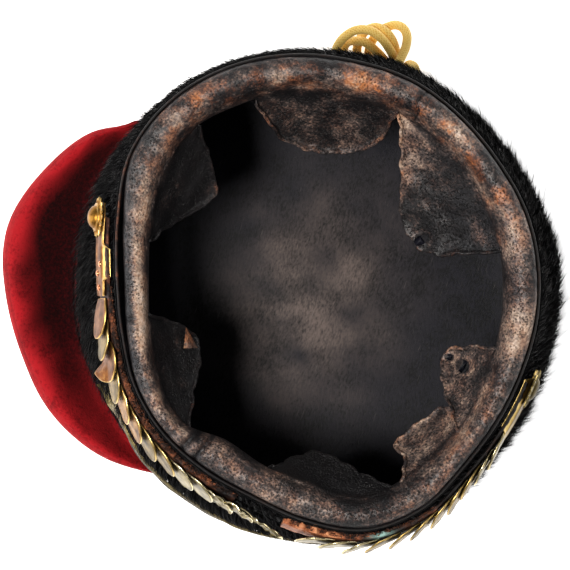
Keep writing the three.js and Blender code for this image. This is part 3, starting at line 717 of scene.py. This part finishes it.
def tongue(number, corners, tip):
    """Leather flap: off the roll's inner slope, sinking by a power law to its torn edge."""
    rows, reach = 92, 30
    corners = np.array(corners, float)
    outline = even(cut_round(polar(corners[:, 0], corners[:, 1], 0)[:, :2], 2), rows)
    course = normed(np.gradient(outline, axis=0))
    tear = 0.5 * ripple(outline, 9, 40 + number, 3)
    outline += np.stack([course[:, 1], -course[:, 0]], 1) * tear[:, None]
    turn = np.linspace(corners[0, 0], corners[-1, 0], rows)
    place = np.linspace(*TONGUE_ROOT, 12)
    radius, height = roll_section(turn, place)
    sides = unit(np.minimum(np.arange(rows), np.arange(rows)[::-1]) / 8)[:, None]
    proud = -0.35 + 1.0 * sides * unit((place - TONGUE_ROOT[0]) / 1.2) ** 2
    slope = polar(turn[:, None], radius - 0.7 * proud, height + 0.7 * proud)
    root = slope[:, -1:]
    share = np.linspace(0, 1, reach)[None, 1:, None]
    plan = root[..., :2] * (1 - share) + outline[:, None] * share
    held, reached = bearing(root)[1], bearing(plan)[1]
    fallen = np.clip((held - reached) / (held - corners[:, 1].min()), 0, 1.2)
    share = share[..., 0]
    z = root[..., 2] - (root[..., 2] - tip) * fallen ** 0.85
    flat = np.concatenate([plan, z[..., None]], -1)
    z += np.sqrt(share) * (0.9 * ripple(flat, 24, 60 + number) + 0.2 * ripple(flat, 7, 70 + number))
    z += CURLS.get(number, 0.4) * unit((share - 0.88) / 0.12) ** 2
    # the leather dips round its lacing holes
    holes = [hole[1:] for hole in HOLES if hole[0] == number]
    for x, y, _, short, _ in holes:
        z -= 1.1 * bell(np.hypot(plan[..., 0] - x, plan[..., 1] - y), 0, 2.4 * short)
    face = np.concatenate([slope, np.concatenate([plan, z[..., None]], -1)], 1)
    face[..., 2] += band_lumps(face)
    for _ in range(3):
        face[:, 9:16] = (face[:, 8:15] + 2 * face[:, 9:16] + face[:, 10:17]) / 4
    loops = slab(face, TONGUE_WALL * 0.8)
    marks = band_marks(loops)
    free = np.concatenate([0 * place, share[0]])
    free = np.concatenate([free, np.ones(5), free[::-1]])[None]
    upper, lower = TONGUE_WEAR_AND_SHADE[number - 1]
    down = unit(free / 0.25)
    worn = 1 - free
    if number == 1:
        worn = np.interp(bearing(loops)[0], *zip(*FIRST_TONGUE))
    marks["wear_and_shade"] = (marks["wear_and_shade"] * (1 - down) + down * (lower + (upper - lower) * worn)
                     + down * 0.12 * ripple(loops, 20, 80 + number))
    rim = unit((free - 0.95) / 0.05) * (0.5 + 0.7 * ripple(loops, 11, 90 + number)) * sides
    marks["wear_and_shade"] += 0.2 * unit(rim)
    marks["rust"] = unit(marks["rust"] + 0.5 * rim + 0.2)
    for x, y, long, _, _ in holes:
        lip = bell(np.hypot(loops[..., 0] - x, loops[..., 1] - y), long + 0.9, 0.9)
        marks["wear_and_shade"] += 0.22 * lip
    marks["crackle"] = unit(marks["crackle"] + 0.3 * down)
    flap = body(f"tongue_{number}_leather", loops, BAND, "band_leather", marks=marks,
                replaces=[f"tongue_{number}"])
    # the holes stop 1.05 mm down in the sheet, blind, so that their black floor stands in as
    # painted shade
    spots = face.reshape(-1, 3)
    floor = [spots[np.argmin(np.hypot(spots[:, 0] - x, spots[:, 1] - y)), 2] - 1.05
             for x, y, *_ in holes]
    punch(flap, holes, floor)


def turned_corner():
    """Torn corner of the front left tongue, curled up to its tan flesh side: a triangle's grid."""
    corners = np.array([[-54, -46, 117.4], [-47.7, -43.5, 109], [-56.5, -36.3, 115]], float)
    down, over = np.meshgrid(np.linspace(0, 1, 12), np.linspace(-1, 1, 14), indexing="ij")
    point, base = corners[2], (corners[0] + corners[1]) / 2
    half = (corners[1] - corners[0]) / 2
    face = point + down[..., None] * (base - point) + (down * over)[..., None] * half
    face[..., 2] += 1.1 * (1 - over ** 2) * down + 0.25 * ripple(face, 5, 96)
    back = face - [0, 0, 1.1]
    loops = np.concatenate([face, back[:, ::-1]], 1)
    marks = {"wear_and_shade": 0.55, "rust": 0.8, "crackle": 0.2}
    body("tongue_4_turned_corner", loops, BAND, "band_leather", marks=marks, crease=50)


def punch(thing, holes, floor):
    """Sinks oval holes into a piece, down to their floor, with cylinders of their half axes. Their
    walls and floor take the black lining leather: painted shade standing for the dark seen through
    a hole.
    """
    turn = circle(22)
    for (x, y, long, short, lean), low in zip(holes, floor):
        lean = np.radians(lean)
        along, over = long * np.cos(turn), short * np.sin(turn)
        ring = np.stack([x + along * np.cos(lean) - over * np.sin(lean),
                         y + along * np.sin(lean) + over * np.cos(lean)], 1)
        rings = np.stack([np.column_stack([ring, 0 * turn + height])
                          for height in (low, 125, RIM_TOP)])
        # painted shade: the cutter's black leather and low wear mark pass to the hole's walls and
        # floor
        cutter = body("cutter", rings, SHELL, "band_leather",
                      marks={"wear_and_shade": -0.6, "rust": 0, "crackle": 0})
        modifier = thing.modifiers.new("hole", "BOOLEAN")
        modifier.object = cutter
        modifier.operation = "DIFFERENCE"
        modifier.solver = "EXACT"
        modifier.material_mode = "TRANSFER"
        bpy.context.view_layer.update()
        made = bpy.data.meshes.new_from_object(
            thing.evaluated_get(bpy.context.evaluated_depsgraph_get()))
        thing.modifiers.clear()
        thing.data = made
        bpy.data.objects.remove(cutter)


def binding():
    """Thin binding over the shell's edge: a flattened tube round the mouth."""
    angle = circle(480, 360)[:, None]
    turn = circle(12)
    middle = around("mouth", angle) + SHELL_WALL / 2 + 0.3
    tube = polar(angle, middle + 0.65 * np.cos(turn), 144.9 + 1.1 * np.sin(turn))
    tube[..., 2] += 0.18 * ripple(tube, 7, 90)
    # painted highlight: the binding is lighter round the left, where the light falls on it
    left = bell(angle, 180, 26)
    fray = -0.2 + 0.2 * left + 0.03 * ripple(tube, 12, 91)
    body("rim_binding_leather", tube, STRAP, "band_leather", ring=True, marks={"fray": fray},
         replaces=["rim_binding"])


# Fur

def hug(angle):
    """Radius of the strap's top edge, on its inner face."""
    return around("mouth", angle) + SHELL_WALL + PELT_EDGE + 0.9


def pelt():
    """Underhair: a closed ring between shell and hair, its outside in soft slanting locks."""
    angle = circle(360, 360)[:, None]
    up = np.linspace(3.4, 143, 44)
    inner, outer = shell_outer(angle, up), fur_outer(angle, up)
    # thicker behind the scroll, so that no floor shows between the two
    behind = bell(up, BAND_MIDDLE, 22) * unit(np.minimum(angle - 236, 318 - angle) / 8)
    outside = polar(angle, inner + (0.55 + 0.53 * behind) * (outer - inner), up)
    slant = polar(angle + up * 0.25, 100, up * 2)
    lump = 0.16 * (outer - inner) * ripple(slant, 11, 100)
    outside += lump[..., None] * polar(angle, 1, 0)
    inside = polar(angle, shell_outer(angle, up[::-1]) + 0.3, up[::-1])
    body("fur_underhair", np.concatenate([outside, inside], 1), UNDERHAIR, "fur", ring=True,
         marks={"tip": 0.3, "shade": 0.5}, replaces=["fur_cover"])


def hair(name, seed, low, high):
    """Guard hairs: tapering blades of three triangles from the underhair, combed outward and round.

    Each reaches out by a share of the coat's depth and sideways by the tangent of the comb's slant.
    Tips are drawn to the middle of their tuft, where the hairs are longest, so that the coat parts
    into small pointed locks.
    """
    draw = np.random.default_rng(seed)
    count = HAIRS
    angle, z = draw.uniform(0, 360, count), draw.uniform(low, high, count)
    inner, outer = shell_outer(angle, z), fur_outer(angle, z)
    coat = outer - inner
    # 1.95 mm to a degree; each column of tufts starts at a height of its own, so that no rows show
    around_hat = angle * 1.95 / TUFT_ROUND + z * 0.05
    step = np.sin(np.round(around_hat) * 91.7) * 3571.3
    up_hat = z / TUFT_UP + step - np.floor(step)
    off_a, off_z = around_hat - np.round(around_hat), up_hat - np.round(up_hat)
    centred = 1 - unit(np.hypot(off_a, off_z) * 1.7)
    # a value of its own for each tuft, 0 to 1
    mark = np.sin(np.round(around_hat) * 12.9898 + np.round(up_hat) * 78.233) * 43758.5
    mark = mark - np.floor(mark)
    place = (angle + 20) % 360
    thick = 1 + 0.25 * bell(place, 20, 44) - 0.22 * bell(angle, 128, 34)
    reach = coat * draw.uniform(0.3, 0.52, count) * (0.85 + 0.3 * mark) * thick
    reach += (0.4 + 3.6 * centred * (0.5 + mark)) * draw.random(count) ** 1.4 * thick ** 2
    reach += np.where(draw.random(count) < 0.02, 1.6, 0)
    # held down under the strap and the scroll
    strap = (z > 116) & (((angle > 177) & (angle < 268)) | ((angle > 278) & (angle < 360)))
    scroll = (z > BAND_LOW - 6) & (z < BAND_HIGH + 3) & (angle > 223) & (angle < 316)
    reach = np.where(strap, np.minimum(reach, 0.5 * coat), reach)
    cover = np.interp(angle, [230, 240], [0.14, 0.54]) * coat + 1.1 * (angle > 238)
    reach = np.where(scroll, np.minimum(reach, cover), reach)
    # standing out over the scroll's upper edge, and a few strays below its left half
    bridge = (z >= BAND_HIGH + 3) & (z < 106) & (angle > 238) & (angle < 314)
    gap = fur_outer(angle, 76.0 + 0 * z) + 2.2 - inner - HAIR_ROOT * coat
    reach = np.where(bridge & (draw.random(count) < 0.7), gap, reach)
    stray = (z > 44) & (z < BAND_LOW) & (draw.random(count) < 0.25 * bell(angle, 252, 6))
    reach = reach + np.where(stray, 3.4, 0)
    slant = np.radians(np.clip(draw.normal(36, 9, count) + 14 * (mark - 0.5) - 6 * centred, 5, 65))
    sideways = (np.minimum(reach, 7) * np.tan(slant) + np.where(strap, 1.5, 1.2)
                - 0.85 * off_a * TUFT_ROUND)
    rise = 0.15 * reach - 0.75 * off_z * TUFT_UP
    radial, tangent = polar(angle, 1, 0), polar(angle + 90, 1, 0)
    root = polar(angle, inner + HAIR_ROOT * coat, z)
    tip = root + reach[:, None] * radial + sideways[:, None] * tangent + rise[:, None] * [0, 0, 1]
    tip[:, 2] = np.maximum(tip[:, 2], 0.5)
    course = tip - root
    length = np.linalg.norm(course, axis=1, keepdims=True)
    middle = root + 0.5 * course + 0.12 * length * radial - 0.06 * length * tangent
    wide = np.cross(course / length, draw.normal(size=(count, 3)))
    wide *= (draw.uniform(0.11, 0.21, count) / np.linalg.norm(wide, axis=1))[:, None]
    points = np.stack([root - wide, root + wide, middle - 0.8 * wide, middle + 0.8 * wide, tip], 1)
    faces = blades(points, [[0, 1, 3], [0, 3, 2], [2, 3, 4]])
    shade = (draw.random(count) ** 3 * 0.8 + 0.1)[:, None].repeat(5, 1)
    make(name, points, faces, HAIR, "fur", clean=False,
         tip=np.tile([0.1, 0.1, 0.6, 0.6, 1.0], count), shade=shade.ravel())


# Bag

def bag_lower():
    """Cloth layer under crown and tail: rings of the bag's outline, flat, with a rolled edge."""
    angle = circle(240, 360)
    tail = np.interp(angle, *zip(*TAIL), left=0, right=0)
    edge = np.maximum(smooth_tail(angle) - 1.2, around("fur", angle) - 5)
    edge = np.where(tail > 0, edge, around("fur", angle) - 5)
    shares = [0, 0.25, 0.5, 0.7, 0.84, 0.94, 0.985, 1, 1, 0.985, 0.9, 0.6, 0.3, 0]
    heights = [2.4, 2.4, 2.4, 2.4, 2.4, 2.4, 2.3, 1.8, 0.7, 0.1, 0, 0, 0, 0]
    disc = np.stack([polar(angle, edge * share, height) for share, height in zip(shares, heights)])
    # painted shade: the lower layer is darkened evenly with a light share of the valley's shade
    return body("bag_lower_cloth", disc, WOOL, "red_cloth", marks={"valley_shade": 0.3})


def smooth_tail(angle):
    """Reach of the bag's tail at an angle: Catmull-Rom through the outline, by linear station."""
    line = smooth_line(TAIL, 300)
    return np.interp(angle, line[:, 0], line[:, 1])


def bag_upper():
    """Puffed upper cloth: profile from the mouth at the crown to the outer seam, over the tail."""
    angle = np.linspace(*POUCH, 160)[:, None]
    share = np.linspace(0, 1, 62)
    knots = smooth_line(PUFF_PROFILE, 400)
    rise = np.interp(share, knots[:, 0], knots[:, 1])
    reach = smooth_tail(angle)
    mouth = np.minimum(around("fur", angle) + 1.6, reach - 2)
    middle = (angle - POUCH[0]) / (POUCH[1] - POUCH[0])
    arch = unit(np.sin(np.pi * middle))
    height = PUFF * np.minimum(1, 0.3 + 1.5 * arch ** 0.8)
    low = 2 * CLOTH + 0.3
    radius = mouth + (reach - mouth) * share
    z = low + (height - low) * rise - 2.2 * unit((share - 0.97) / 0.03)
    flat = polar(angle, radius, 0)
    swell = np.sin(np.pi * share) ** 0.7 * arch ** 0.5
    z += swell * (1.1 * ripple(flat, 46, 120) + 0.4 * ripple(flat, 17, 121))
    inward = (1 - share) * (reach - mouth)
    z -= 0.5 * bell(inward, 2.6, 0.5)
    face = polar(angle, radius, np.maximum(z, CLOTH + 0.3))
    loops = slab(face, 1.9)
    # painted shade in the valley between the puff and the fur, set by the table round the hat, and
    # a darker line along the seam groove
    deep = unit((inward - 5 + 2 * ripple(flat, 26, 125)) / np.interp(angle, [165, 195], [8, 14]))
    valley_shade_by_angle = np.interp(angle, *zip(*VALLEY_SHADE))
    seam = 0.35 * bell(inward, 2.6, 0.45) * bell(angle, 203, 14)
    valley_shade = unit(0.97 * valley_shade_by_angle * deep ** 0.7 + seam)
    valley_shade = np.concatenate([valley_shade, 0 * loops[:, :5, 0], valley_shade[:, ::-1]], 1)
    return body("bag_upper_cloth", loops, WOOL, "red_cloth", marks={"valley_shade": valley_shade}, replaces=["bag"])


# Chin strap and scroll

def leaned(angle, depth, away, lean):
    """Points on the leaned strap: depth below its top edge, away outward from its inner face."""
    radius = hug(angle) + depth * np.sin(lean) + away * np.cos(lean)
    return polar(angle, radius, STRAP_TOP - depth * np.cos(lean) + away * np.sin(lean))


def strap_frame(angle, strap, depth, away):
    """Axes and origin on the strap: x along it to the free end, z outward, y across."""
    way, lean = strap["way"], strap["lean"]
    here, ahead = polar(angle, hug(angle), 0), polar(angle + way * 4, hug(angle + way * 4), 0)
    along = normed(ahead - here)
    out = normed(np.cross(along, [0, 0, way]) * np.cos(lean) + np.array([0, 0, np.sin(lean)]))
    side = np.cross(out, along)
    origin = polar(angle, hug(angle) + depth * np.sin(lean), 0)
    origin[2] = STRAP_TOP - depth * np.cos(lean)
    return np.stack([along, side, out], 1), origin + out * away


def placed(points, axes, origin):
    """Points of a local frame in the hat's frame: the axes times the point, plus the origin."""
    return points @ axes.T + origin


def pressed(outline, centre, wall, bevel=0.28):
    """Sheet plate: rings of its outline shrunk to the centre, over the face, edge and back."""
    size = np.linalg.norm(outline - centre, axis=1).mean()
    lip = bevel / size
    shares = [0, 0.25, 0.45, 0.62, 0.74, 0.8, 0.85, 0.9, 1 - 2 * lip, 1 - lip, 1 - 0.3 * lip, 1,
              1 - 0.3 * lip, 1 - lip, 0.9, 0.85, 0.8, 0.7, 0.45, 0.2, 0]
    tall = [1] * 10 + [0.85, 0.5, 0.15] + [0] * 8
    share = np.array(shares)[:, None]
    flat = centre + (outline - centre)[None] * share[..., None]
    z = np.array(tall)[:, None] * wall + 0 * flat[..., 0]
    return np.concatenate([flat, z[..., None]], -1), share + 0 * flat[..., 0]


def scale_plate(side, strap, number):
    """One scale: square root and rounded free end, domed across, with a raised border."""
    closing = side == "left" and number == strap["scales"]
    crushed = side == "left" and number >= 11
    bent = (side, number) == BENT_SCALE
    width = 27 if bent else STRAP_WIDTH
    half = (width * 0.6 if closing else width) / 2
    length = SCALE_LENGTH + (6 if closing else 0)
    root, round_at = STRAP_WIDTH * 0.36, length - SCALE_ROUND
    turn = np.linspace(-np.pi / 2, np.pi / 2, 25)
    arc = np.stack([round_at + SCALE_ROUND * np.cos(turn), half * np.sin(turn)], 1)
    low = np.stack([np.linspace(0, round_at - 3, 6), np.linspace(-root, -half, 6)], 1)
    outline = even(np.concatenate([[[0, 0]], low, arc, low[::-1] * [1, -1], [[0, 0]]]), 65)[:-1]
    plate, share = pressed(outline, np.array([length * 0.5, 0]), SCALE_WALL)
    x, y, z = plate[..., 0], plate[..., 1], plate[..., 2]
    flat = plate * [1, 1, 0]
    z += 0.6 * (1 - (y / (STRAP_WIDTH / 2)) ** 2).clip(-0.3, 1) - 0.4
    z += 0.25 * bell(share, 0.9, 0.04)
    draw = np.random.default_rng(500 + number + 40 * (side == "right"))
    z += draw.normal(0, 0.012) * x * y / 6 + 0.12 * ripple(flat, 9, 520 + number)
    if crushed:
        z += 0.7 * np.abs(ripple(flat, 6, 540 + number, 2)) + 0.1 * y
    if bent:
        lower = np.clip(-y * strap["way"], 0, None) / half
        z += 6 * lower * unit(np.clip(x - 9.5, 0, None) / (length - 9.5) * 2)
    lifted = side == "left" and number < BENT_SCALE[1]
    slope = np.radians(strap["slope"] + (4 if lifted else 0) + draw.normal(0, 0.6))
    turned = np.stack([x * np.cos(slope) - z * np.sin(slope), y,
                       x * np.sin(slope) + z * np.cos(slope)], -1)
    angle = strap["first"] + strap["way"] * strap["pitch"] * (number - 1)
    points = placed(turned, *strap_frame(angle, strap, STRAP_WIDTH / 2 - 0.5, STRAP_LEATHER + 0.35))
    node = f"{side}_scale_{number:02d}"
    body(node + "_brass", points, SCALE_FINISH[side][number - 1], "brass",
         marks={"edge": (1 if side == "left" else 0.7) * unit((share - 0.955) / 0.03)},
         replaces=[node], crease=50)


def strap_band(side, strap):
    """Strap leather: a rounded band along the leaned strap, its inner edge swollen and frayed."""
    angle = np.linspace(*strap["span"], 300)[:, None]
    across, thick = oval(circle(40), 0.35, 0.6)
    if side == "left":
        loose = bell(angle, 236, 34)
    else:
        loose = unit(bell(angle, 286, 9) + 0.5 * bell(angle, 305, 10))
    middle = leaned(angle, STRAP_WIDTH * (0.5 - across), 0, strap["lean"])
    frayed = ripple(middle, 5, 130 + len(side), 4)
    edge = np.abs(across) ** 6
    depth = STRAP_WIDTH / 2 - across * (STRAP_WIDTH / 2 - 1.6 + (across > 0) * loose)
    depth = depth - np.sign(across) * frayed * edge * (0.5 + 0.5 * loose)
    most = 1.7 if side == "left" else 2.6
    swollen = loose * (most + 1.1 * frayed) * unit(1 - depth / 8) * unit(-thick)
    away = STRAP_LEATHER / 2 + thick * STRAP_LEATHER / 2 - swollen + 0.15 * frayed
    band = leaned(angle, depth, away, strap["lean"])
    tab = unit((300 - angle) / 8) if side == "right" else 0 * angle
    dark = unit((angle - 312) / 12) if side == "right" else 0 * angle
    green = bell(angle, 303.5, 2.2) * (across > 0.6) * (side == "right")
    body(f"{side}_strap_band", band, STRAP, "strap_leather",
         marks={"fray": 0.02 + 0.26 * tab - 0.2 * dark + 0.03 * frayed, "green": 0.8 * green},
         replaces=[f"{side}_strap_leather"])


def end_plate(side, strap):
    """Long plate between rosette and scales: a leaned brass band with rolled rims."""
    start, stop = strap["plate"]
    share = np.linspace(0, 1, 90)
    angle = (start + (stop - start) * share)[:, None]
    trim = 3.2 * (bell(share, 0, 0.06) + 0.4 * bell(share, 1, 0.05))[:, None]
    across, thick = oval(circle(32), 0.4, 0.7)
    depth = 9.5 - across * (7.5 - trim)
    ridge = 0.5 * bell(np.abs(across), 0.86, 0.12)
    away = STRAP_LEATHER + 0.9 + thick * 0.45 + ridge
    low, high = strap["flange"]
    flange = unit(np.minimum(angle - low, high - angle))
    away = away - 3.0 * flange * unit((across - 0.55) / 0.4)
    plate = leaned(angle, depth - 0.6 * flange * (across > 0.8), away, strap["lean"])
    body(f"{side}_end_plate_brass", plate, RED_BRASS if side == "left" else BRASS, "brass",
         marks={"edge": (across > 0.55) * (0.5 + 0.4 * flange) + 0 * angle},
         replaces=[f"{side}_end_plate"], crease=45)


def rosette(side, strap):
    """Rosette: a sixteen-point star washer, a turned domed boss and a shank, on one axis."""
    proud, squeeze, metal = (2.2, 1, AMBER_BRASS) if side == "left" else (1.8, 0.6, DULL_BRASS)
    axes, origin = strap_frame(strap["star"], strap, 9, STRAP_LEATHER + proud)
    turn = circle(96)
    radius = STAR_RADIUS + 1.1 * (2 * np.abs((turn / (2 * np.pi) * STAR_POINTS) % 1 - 0.5) * 2 - 1)
    outline = np.stack([radius * np.cos(turn), radius * np.sin(turn)], 1)
    star, share = pressed(outline, np.zeros(2), 0.9)
    star[..., 2] += 0.5 * bell(share, 0.8, 0.08)
    body(f"{side}_rosette_star", placed(star, axes, origin), metal, "brass",
         marks={"edge": 0.6 * unit((share - 0.85) / 0.1)}, crease=35)
    profile = smooth_line([(0, -1.4), (2, -1.4), (2, 0.9), (6.3, 0.9), (6.6, 1.4), (6.2, 2.1),
                           (5.4, 2.2), (5, 3.2), (3.8, 4.4), (2, 5.2), (0, 5.5)], 50)
    turn = turn[::2]
    rings = np.stack([profile[:, :1] * np.cos(turn), profile[:, :1] * np.sin(turn),
                      squeeze * profile[:, 1:] + 0 * turn], -1)
    body(f"{side}_rosette_boss", placed(rings, axes, origin), metal, "brass",
         marks={"edge": bell(profile[:, 1], 2, 0.5)[:, None] * 0.3}, replaces=[f"{side}_rosette"])


def rivets():
    """Copper rivet heads on the left end plate: half globes set on its outer face."""
    for number, angle, depth in [(1, 192.2, 8), (2, 194.6, 14), (3, 198.2, 12)]:
        axes, origin = strap_frame(angle, STRAPS["left"], depth, STRAP_LEATHER + 1.3)
        rise = np.linspace(0, np.pi / 2, 10)[:, None]
        turn = circle(24)
        head = np.stack([1.5 * np.cos(rise) * np.cos(turn), 1.5 * np.cos(rise) * np.sin(turn),
                         1.0 * np.sin(rise) + 0 * turn], -1)
        body(f"left_plate_rivet_{number}", placed(head, axes, origin), COPPER, "brass",
             marks={"edge": 0.6})


def shreds():
    """Torn fibres of strap leather: small blades from its top edge, reaching in over the fur."""
    draw = np.random.default_rng(700)
    count = SHREDS
    left = draw.random(count) < 0.75
    angle = np.where(left, draw.uniform(198, 266, count), draw.uniform(281, 318, count))
    thick = np.where(left, bell(angle, 238, 28), bell(angle, 292, 16))
    lean = np.where(left, *(strap["lean"] for strap in STRAPS.values()))
    depth, away = draw.uniform(0.2, 2.6, count), draw.uniform(-1.6, 1.4, count) * thick
    root = leaned(angle, depth, away, lean)
    radial, tangent = polar(angle, 1, 0), polar(angle + 90, 1, 0)
    way = (draw.uniform(-1.4, 0.3, count)[:, None] * radial
           + draw.normal(0, 1, count)[:, None] * tangent
           + draw.uniform(0.1, 0.8, count)[:, None] * [0, 0, 1])
    way *= (draw.uniform(0.5, 1.9, count) * (0.3 + 0.7 * thick))[:, None]
    wide = np.cross(way, draw.normal(size=(count, 3)))
    wide *= (draw.uniform(0.12, 0.32, count) / np.linalg.norm(wide, axis=1))[:, None]
    points = np.stack([root - wide, root + wide, root + 0.55 * way + 0.7 * wide, root + way], 1)
    faces = blades(points, [[0, 1, 2], [0, 2, 3]])
    tone = draw.normal(0.02, 0.1, count)[:, None].repeat(4, 1)
    make("strap_leather_shreds", points, faces, STRAP, "strap_leather", clean=False,
         fray=tone.ravel())


def scroll():
    """Bare brass scroll across the front: a band with beaded rims, its left end turned up flat."""
    first, last = BAND_SPAN
    half = BAND_HIGH - BAND_MIDDLE
    angle = np.linspace(first, last, 250)[:, None]
    trim = unit(1 - np.minimum(angle - first, last - angle) / 6)
    across, thick = oval(circle(40), 0.35, 0.7)
    folded = unit((231.5 - angle) / 4)
    drawn = 7 * unit((246 - angle) / 22) ** 1.5
    z = BAND_MIDDLE + across * (half - 6 * trim - 7 * folded) + 6 * folded
    bead = 0.7 * bell(np.abs(across), 0.86, 0.1)
    radius = fur_outer(angle, BAND_MIDDLE + across * half) + 1.75 + 2 * trim ** 2 + 0.5
    radius += thick * 0.5 + bead * (thick > 0)
    radius += 0.35 * ripple(polar(angle, 100, z), 18, 140) - 2.2 * folded * across - drawn
    body("bandeau_brass", polar(angle, radius, z), DULL_BRASS, "brass",
         marks={"edge": (np.abs(across) > 0.9) * 0.35 + 0.6 * folded + 0 * angle},
         replaces=["bandeau"], crease=50)


def stage():
    """Pale lit floor, four softboxes and a pale surround."""
    bpy.ops.mesh.primitive_plane_add(size=8, location=(0, 0, -0.0004))
    floor = bpy.context.object
    floor.name = "floor"
    material, tree, shader, _ = finish("white_paper_floor")
    wire(tree, shader, Base_Color=linear("#F7F7F6"), Roughness=0.9,
         Emission_Color=linear("#FFFFFF"), Emission_Strength=0.88)
    floor.data.materials.append(material)
    for name, turn, rise, far, size, power, tint in [
            ("key_box", 218, 71, 1.7, 0.36, 40, "#FFFBF6"),
            ("left_box", 203, 14, 1.3, 0.7, 6, "#F4F6FF"),
            ("right_box", 20, 35, 1.8, 0.6, 4, "#FFFFFF"),
            ("rear_box", 80, 8, 1.3, 0.5, 4, "#FFFFFF")]:
        light = bpy.data.lights.new(name, "AREA")
        light.size = size
        light.energy = power
        light.color = linear(tint)[:3]
        rise = np.radians(rise)
        spot = polar(turn, far * np.cos(rise), far * np.sin(rise) + LIT_HEIGHT)
        back = normed(spot - [0, 0, LIT_HEIGHT])
        right = normed(np.cross([0, 0, 1], back))
        hang(name, light, spot, right, back).visible_camera = False
    world = bpy.data.worlds.new("surround")
    world.use_nodes = True
    world.node_tree.nodes["Background"].inputs["Color"].default_value = linear("#FFFFFF")
    world.node_tree.nodes["Background"].inputs["Strength"].default_value = 0.14
    bpy.context.scene.world = world
    bpy.context.scene.view_settings.view_transform = "Standard"


shell()
crown()
sweatband()
for number, (corners, tip) in enumerate(TONGUES, 1):
    tongue(number, corners, tip)
turned_corner()
binding()
pelt()
for part, (low, high) in enumerate(HAIR_BANDS, 1):
    hair(f"fur_hair_{part}", 200 + part, low, high)
lower = bag_lower()
upper = bag_upper()
for side, strap in STRAPS.items():
    strap_band(side, strap)
    end_plate(side, strap)
    rosette(side, strap)
    for number in range(1, strap["scales"] + 1):
        scale_plate(side, strap, number)
rivets()
shreds()
scroll()
stage()

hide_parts("bag")
